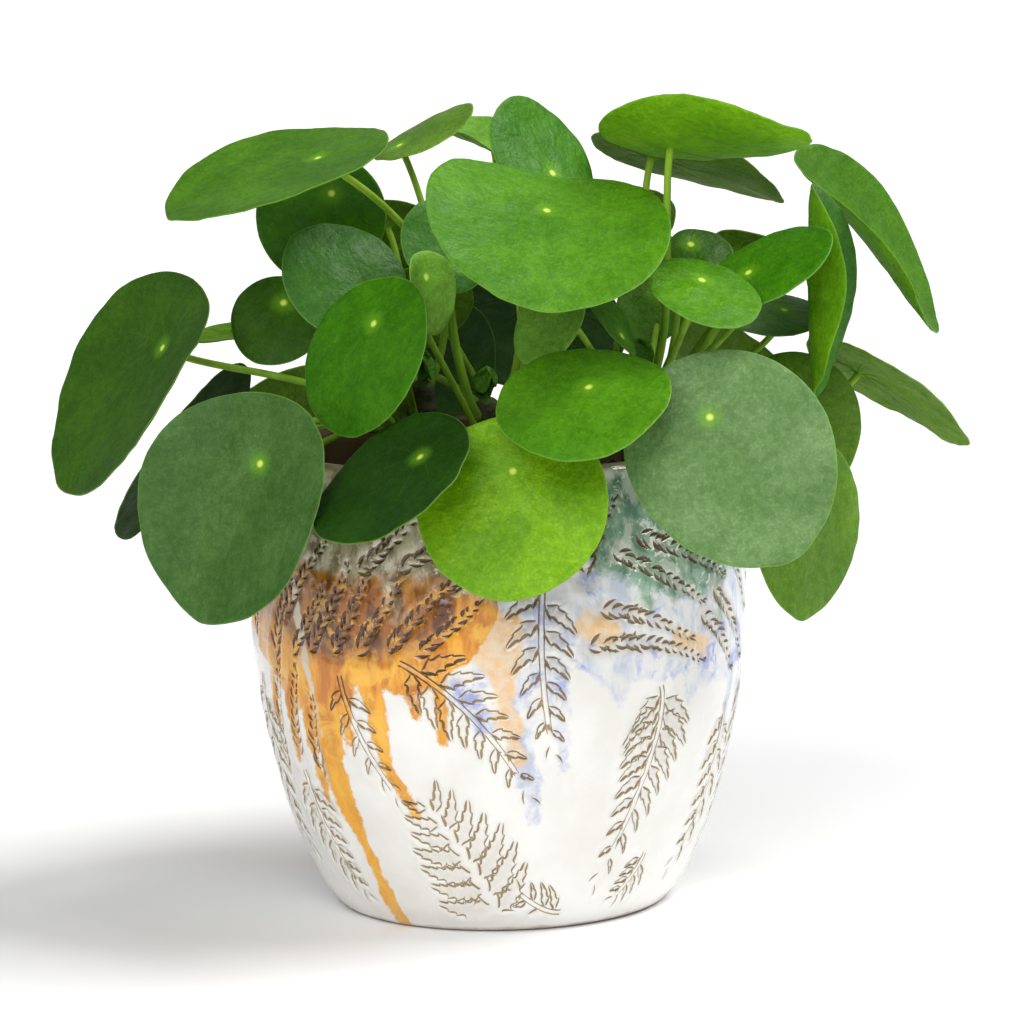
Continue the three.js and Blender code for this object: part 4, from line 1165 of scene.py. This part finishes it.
def stem_piece(shoot, material):
    foot = shoot["foot"]
    top = FIRST_LEAF + shoot["pitch"] * (len(shoot["leaves"]) - 1) + STEM_OVER
    points, faces, scar, over = stem_mesh(foot, top)
    bare = len(points)
    for order in range(YOUNG_COUNT):
        turn = shoot["young_turn"] + 360 * order / YOUNG_COUNT
        points, faces = join(points, faces, *young_leaf(foot, top, turn, order, YOUNG_SEED + order))
    none = np.zeros(len(points) - bare)
    young = np.append(np.zeros(bare), none + 1)
    floats = dict(young=young, scar=np.append(scar, none), top=np.append(over, none))
    name = "shoot_" + shoot["name"]
    place(add_object(name + "_fine", points, faces, material, floats), name, "stem")


# The soil: the solid's lumps with crumbs on them, and a hole for every stem
SOIL_STEP = 1.5
SOIL_INSET = 0.5
RIM_SIDES = 120
HOLE_SIDES = 24
CRUMBS = 420
CRUMB_SIZES = (1.3, 3.4)
PALE_SHARE = 0.12
SOIL_SIDE_LEVELS = (125, 101, 74, 50, 30, 17)
SOIL_FLOOR = 8.5


def soil_height(x, y):
    """Height of the soil above its level, and a mark for the lighter crumbs."""
    draw = seeded(SEED)
    total = np.zeros(len(x))
    for _ in range(SOIL_LUMPS):
        heading = next(draw) * TAU
        pace = 0.05 + next(draw) * 0.08
        start = next(draw) * TAU
        total += np.sin(x * pace * math.cos(heading) + y * pace * math.sin(heading) + start)
    height = SOIL_LUMP * total / math.sqrt(SOIL_LUMPS)
    flat = np.stack([x, y], 1) + 500
    height += 0.7 * value_noise(flat, 7.0, 1) + 0.45 * value_noise(flat, 3.2, 2)
    rng = np.random.default_rng(SEED + 9)
    light = np.zeros(len(x))
    reach = float(np.hypot(x, y).max()) - 3
    for _ in range(CRUMBS):
        away = reach * math.sqrt(rng.uniform())
        spin = rng.uniform(0, TAU)
        size = rng.uniform(*CRUMB_SIZES)
        near = np.hypot(x - away * math.cos(spin), y - away * math.sin(spin)) / size
        dome = np.sqrt(np.clip(1 - near**2, 0, 1))
        pale = rng.uniform() < PALE_SHARE
        height += 0.5 * size * dome
        light = np.maximum(light, (near < 0.8) * float(pale))
    return height, light


def soil_mesh():
    rim = float(wall_radius(SOIL_LEVEL)) - POT_WALL - SOIL_INSET
    hole = STEM_RADIUS + FIT_GAP
    feet = [shoot["foot"] for shoot in SHOOTS]
    rounds = [((0, 0), rim, RIM_SIDES)] + [(foot, hole, HOLE_SIDES) for foot in feet]
    points, edges, kinds = [], [], []
    for kind, (middle, radius, sides) in enumerate(rounds):
        edges += ring_pairs(sides, len(points))
        for k in range(sides):
            spin = k * TAU / sides
            points.append((middle[0] + radius * math.cos(spin), middle[1] + radius * math.sin(spin)))
        kinds += [kind] * sides
    rng = np.random.default_rng(SEED + 8)
    count = int(rim / SOIL_STEP)
    for row in range(-count, count + 1):
        for column in range(-count, count + 1):
            shift = rng.uniform(-GRID_SHIFT, GRID_SHIFT, 2)
            x, y = np.array([column + 0.5 * (row % 2), row * 0.87]) * SOIL_STEP + shift
            clear = min(math.dist((x, y), foot) for foot in feet) - hole
            if math.hypot(x, y) < rim - 0.8 and clear > 0.6:
                points.append((x, y))
                kinds.append(-1)
    found, _, faces, origin, _, _ = delaunay_2d_cdt(points, edges, [], 1, 1e-5, True)
    flat = np.array([tuple(p) for p in found])
    centre = np.array([flat[list(f)].mean(0) for f in faces])
    nearest = np.min([np.linalg.norm(centre - foot, axis=1) for foot in feet], axis=0)
    found_kind = np.array([kinds[sources[0]] if sources else -1 for sources in origin])
    height, light = soil_height(*flat.T)
    calm = np.clip((rim - np.hypot(*flat.T)) / 4, 0, 1)
    covered = [f for f, near in zip(faces, nearest) if near >= STEM_RADIUS]
    shell = Shell(np.column_stack([flat, SOIL_LEVEL + height * calm]), covered)
    side = wall_profile(SOIL_SIDE_LEVELS, POT_WALL + SOIL_INSET)
    side.append((side[-1][0] - FLOOR_CORNER, SOIL_FLOOR))
    for kind, (middle, radius, _) in enumerate(rounds):
        steps = [(radius, STEM_FOOT - FIT_GAP)] if kind else side
        edge = np.flatnonzero(found_kind == kind)
        out = flat[edge] - middle
        order = np.argsort(np.arctan2(out[:, 1], out[:, 0]))
        edge, out = edge[order], out[order] / np.linalg.norm(out[order], axis=1)[:, None]
        rings = [np.column_stack([middle + r * out, np.full(len(edge), level)]) for r, level in steps]
        shell.extend(edge, rings, kind == 0, (*middle, steps[-1][1]))
    return shell.points, shell.faces, np.append(light, np.zeros(len(shell.points) - len(flat)))


def soil_material():
    m = Nodes("earth")
    crumbs, fine = m.noise(330, 4.0, 0.65), m.noise(1300, 3.0, 0.7)
    colour = m.tint((0.008, 0.005, 0.003), (0.045, 0.028, 0.016), crumbs, 0.35, 0.65)
    colour = m.tint(colour, (0.10, 0.07, 0.04), fine, 0.55, 0.75, 0.0, 0.5)
    colour = m.mix(m.times(m.attribute("light"), 0.8), colour, (0.24, 0.19, 0.13))
    normal = m.bump(m.plus(crumbs, m.times(fine, 0.6)), 0.0012, 0.9)
    return m.finish(Base_Color=colour, Roughness=0.95, Normal=normal, Specular_IOR_Level=0.1)


def soil_piece():
    points, faces, light = soil_mesh()
    place(add_object("soil_fine", points, faces, soil_material(), dict(light=light)), "soil", "soil")


# The camera, the floor and the light
FRAME_PIXELS = 1024
FOCAL_PIXELS = 4672
SENSOR_MM = 36.0
LOOK_DOWN = math.radians(8.3)
ROLL = math.radians(1.2)
TARGET = np.array([5.5, 0.0, 133.7])
DISTANCE = 1600.0
FLOOR_REACH = 12000.0
# How strong the world is as light and as the picture's background
WORLD_LIGHT = 0.28
WORLD_SEEN = 1.0
# Each sun: its name, where it stands, its strength and its width in degrees
SUNS = [("key", (1.0, 0.02, 1.35), 2.75, 34), ("front", (-0.3, -1.0, 0.75), 1.85, 46)]


def posed(x, y, z, at=(0, 0, 0)):
    """A matrix from three axes and a place."""
    return Matrix(np.column_stack([x, y, z, at]).tolist() + [[0, 0, 0, 1]])


def add_camera():
    forward = np.array([0, math.cos(LOOK_DOWN), -math.sin(LOOK_DOWN)])
    level_right = np.array([1.0, 0, 0])
    level_up = np.cross(level_right, forward)
    right = math.cos(ROLL) * level_right - math.sin(ROLL) * level_up
    up = math.cos(ROLL) * level_up + math.sin(ROLL) * level_right
    data = bpy.data.cameras.new("camera")
    data.sensor_width = SENSOR_MM
    data.lens = SENSOR_MM * FOCAL_PIXELS / FRAME_PIXELS
    data.clip_end = 50
    camera = linked("camera", data)
    camera.matrix_world = posed(right, up, -forward, (TARGET - forward * DISTANCE) * MM)
    bpy.context.scene.camera = camera


def add_sun(name, direction, strength, degrees):
    data = bpy.data.lights.new(name, "SUN")
    data.energy = strength
    data.angle = math.radians(degrees)
    z = unit(np.array(direction, float))
    x = unit(np.cross([0, 0, 1.0], z))
    linked(name, data).matrix_world = posed(x, np.cross(z, x), z)


def add_stage():
    m = Nodes("floor_white")
    shade = m.tint((0.90, 0.90, 0.90), (0.93, 0.93, 0.93), m.noise(3, 2.0), 0.3, 0.7)
    material = m.finish(Base_Color=shade, Roughness=0.9)
    points = [(x * FLOOR_REACH, y * FLOOR_REACH, 0) for x, y in ((-1, -1), (1, -1), (1, 1), (-1, 1))]
    add_object("floor", points, [(0, 1, 2, 3)], material)
    world = bpy.data.worlds.new("studio")
    bpy.context.scene.world = world
    world.use_nodes = True
    nodes, links = world.node_tree.nodes, world.node_tree.links
    background = nodes["Background"]
    background.inputs["Color"].default_value = (1, 1, 1, 1)
    path = nodes.new("ShaderNodeLightPath")
    strength = nodes.new("ShaderNodeMapRange")
    strength.inputs["To Min"].default_value = WORLD_LIGHT
    strength.inputs["To Max"].default_value = WORLD_SEEN
    links.new(path.outputs["Is Camera Ray"], strength.inputs["Value"])
    links.new(strength.outputs[0], background.inputs["Strength"])
    bpy.context.scene.view_settings.view_transform = "Standard"
    for sun in SUNS:
        add_sun(*sun)


add_camera()
add_stage()

leaf_skin = leaf_material()
draw_phase = seeded(SEED + 1)
for shoot in SHOOTS:
    for order, spec in enumerate(shoot["leaves"]):
        name = f"leaf_{shoot['name']}_{order + 1:02d}"
        height = FIRST_LEAF + shoot["pitch"] * order
        seed = 31 * order + 7 * len(shoot["leaves"]) + len(shoot["name"])
        leaf_piece(name, spec, shoot["foot"], height, next(draw_phase) * TAU, seed, leaf_skin)

pot_piece()
soil_piece()
stem_skin = stem_material()
for shoot in SHOOTS:
    stem_piece(shoot, stem_skin)
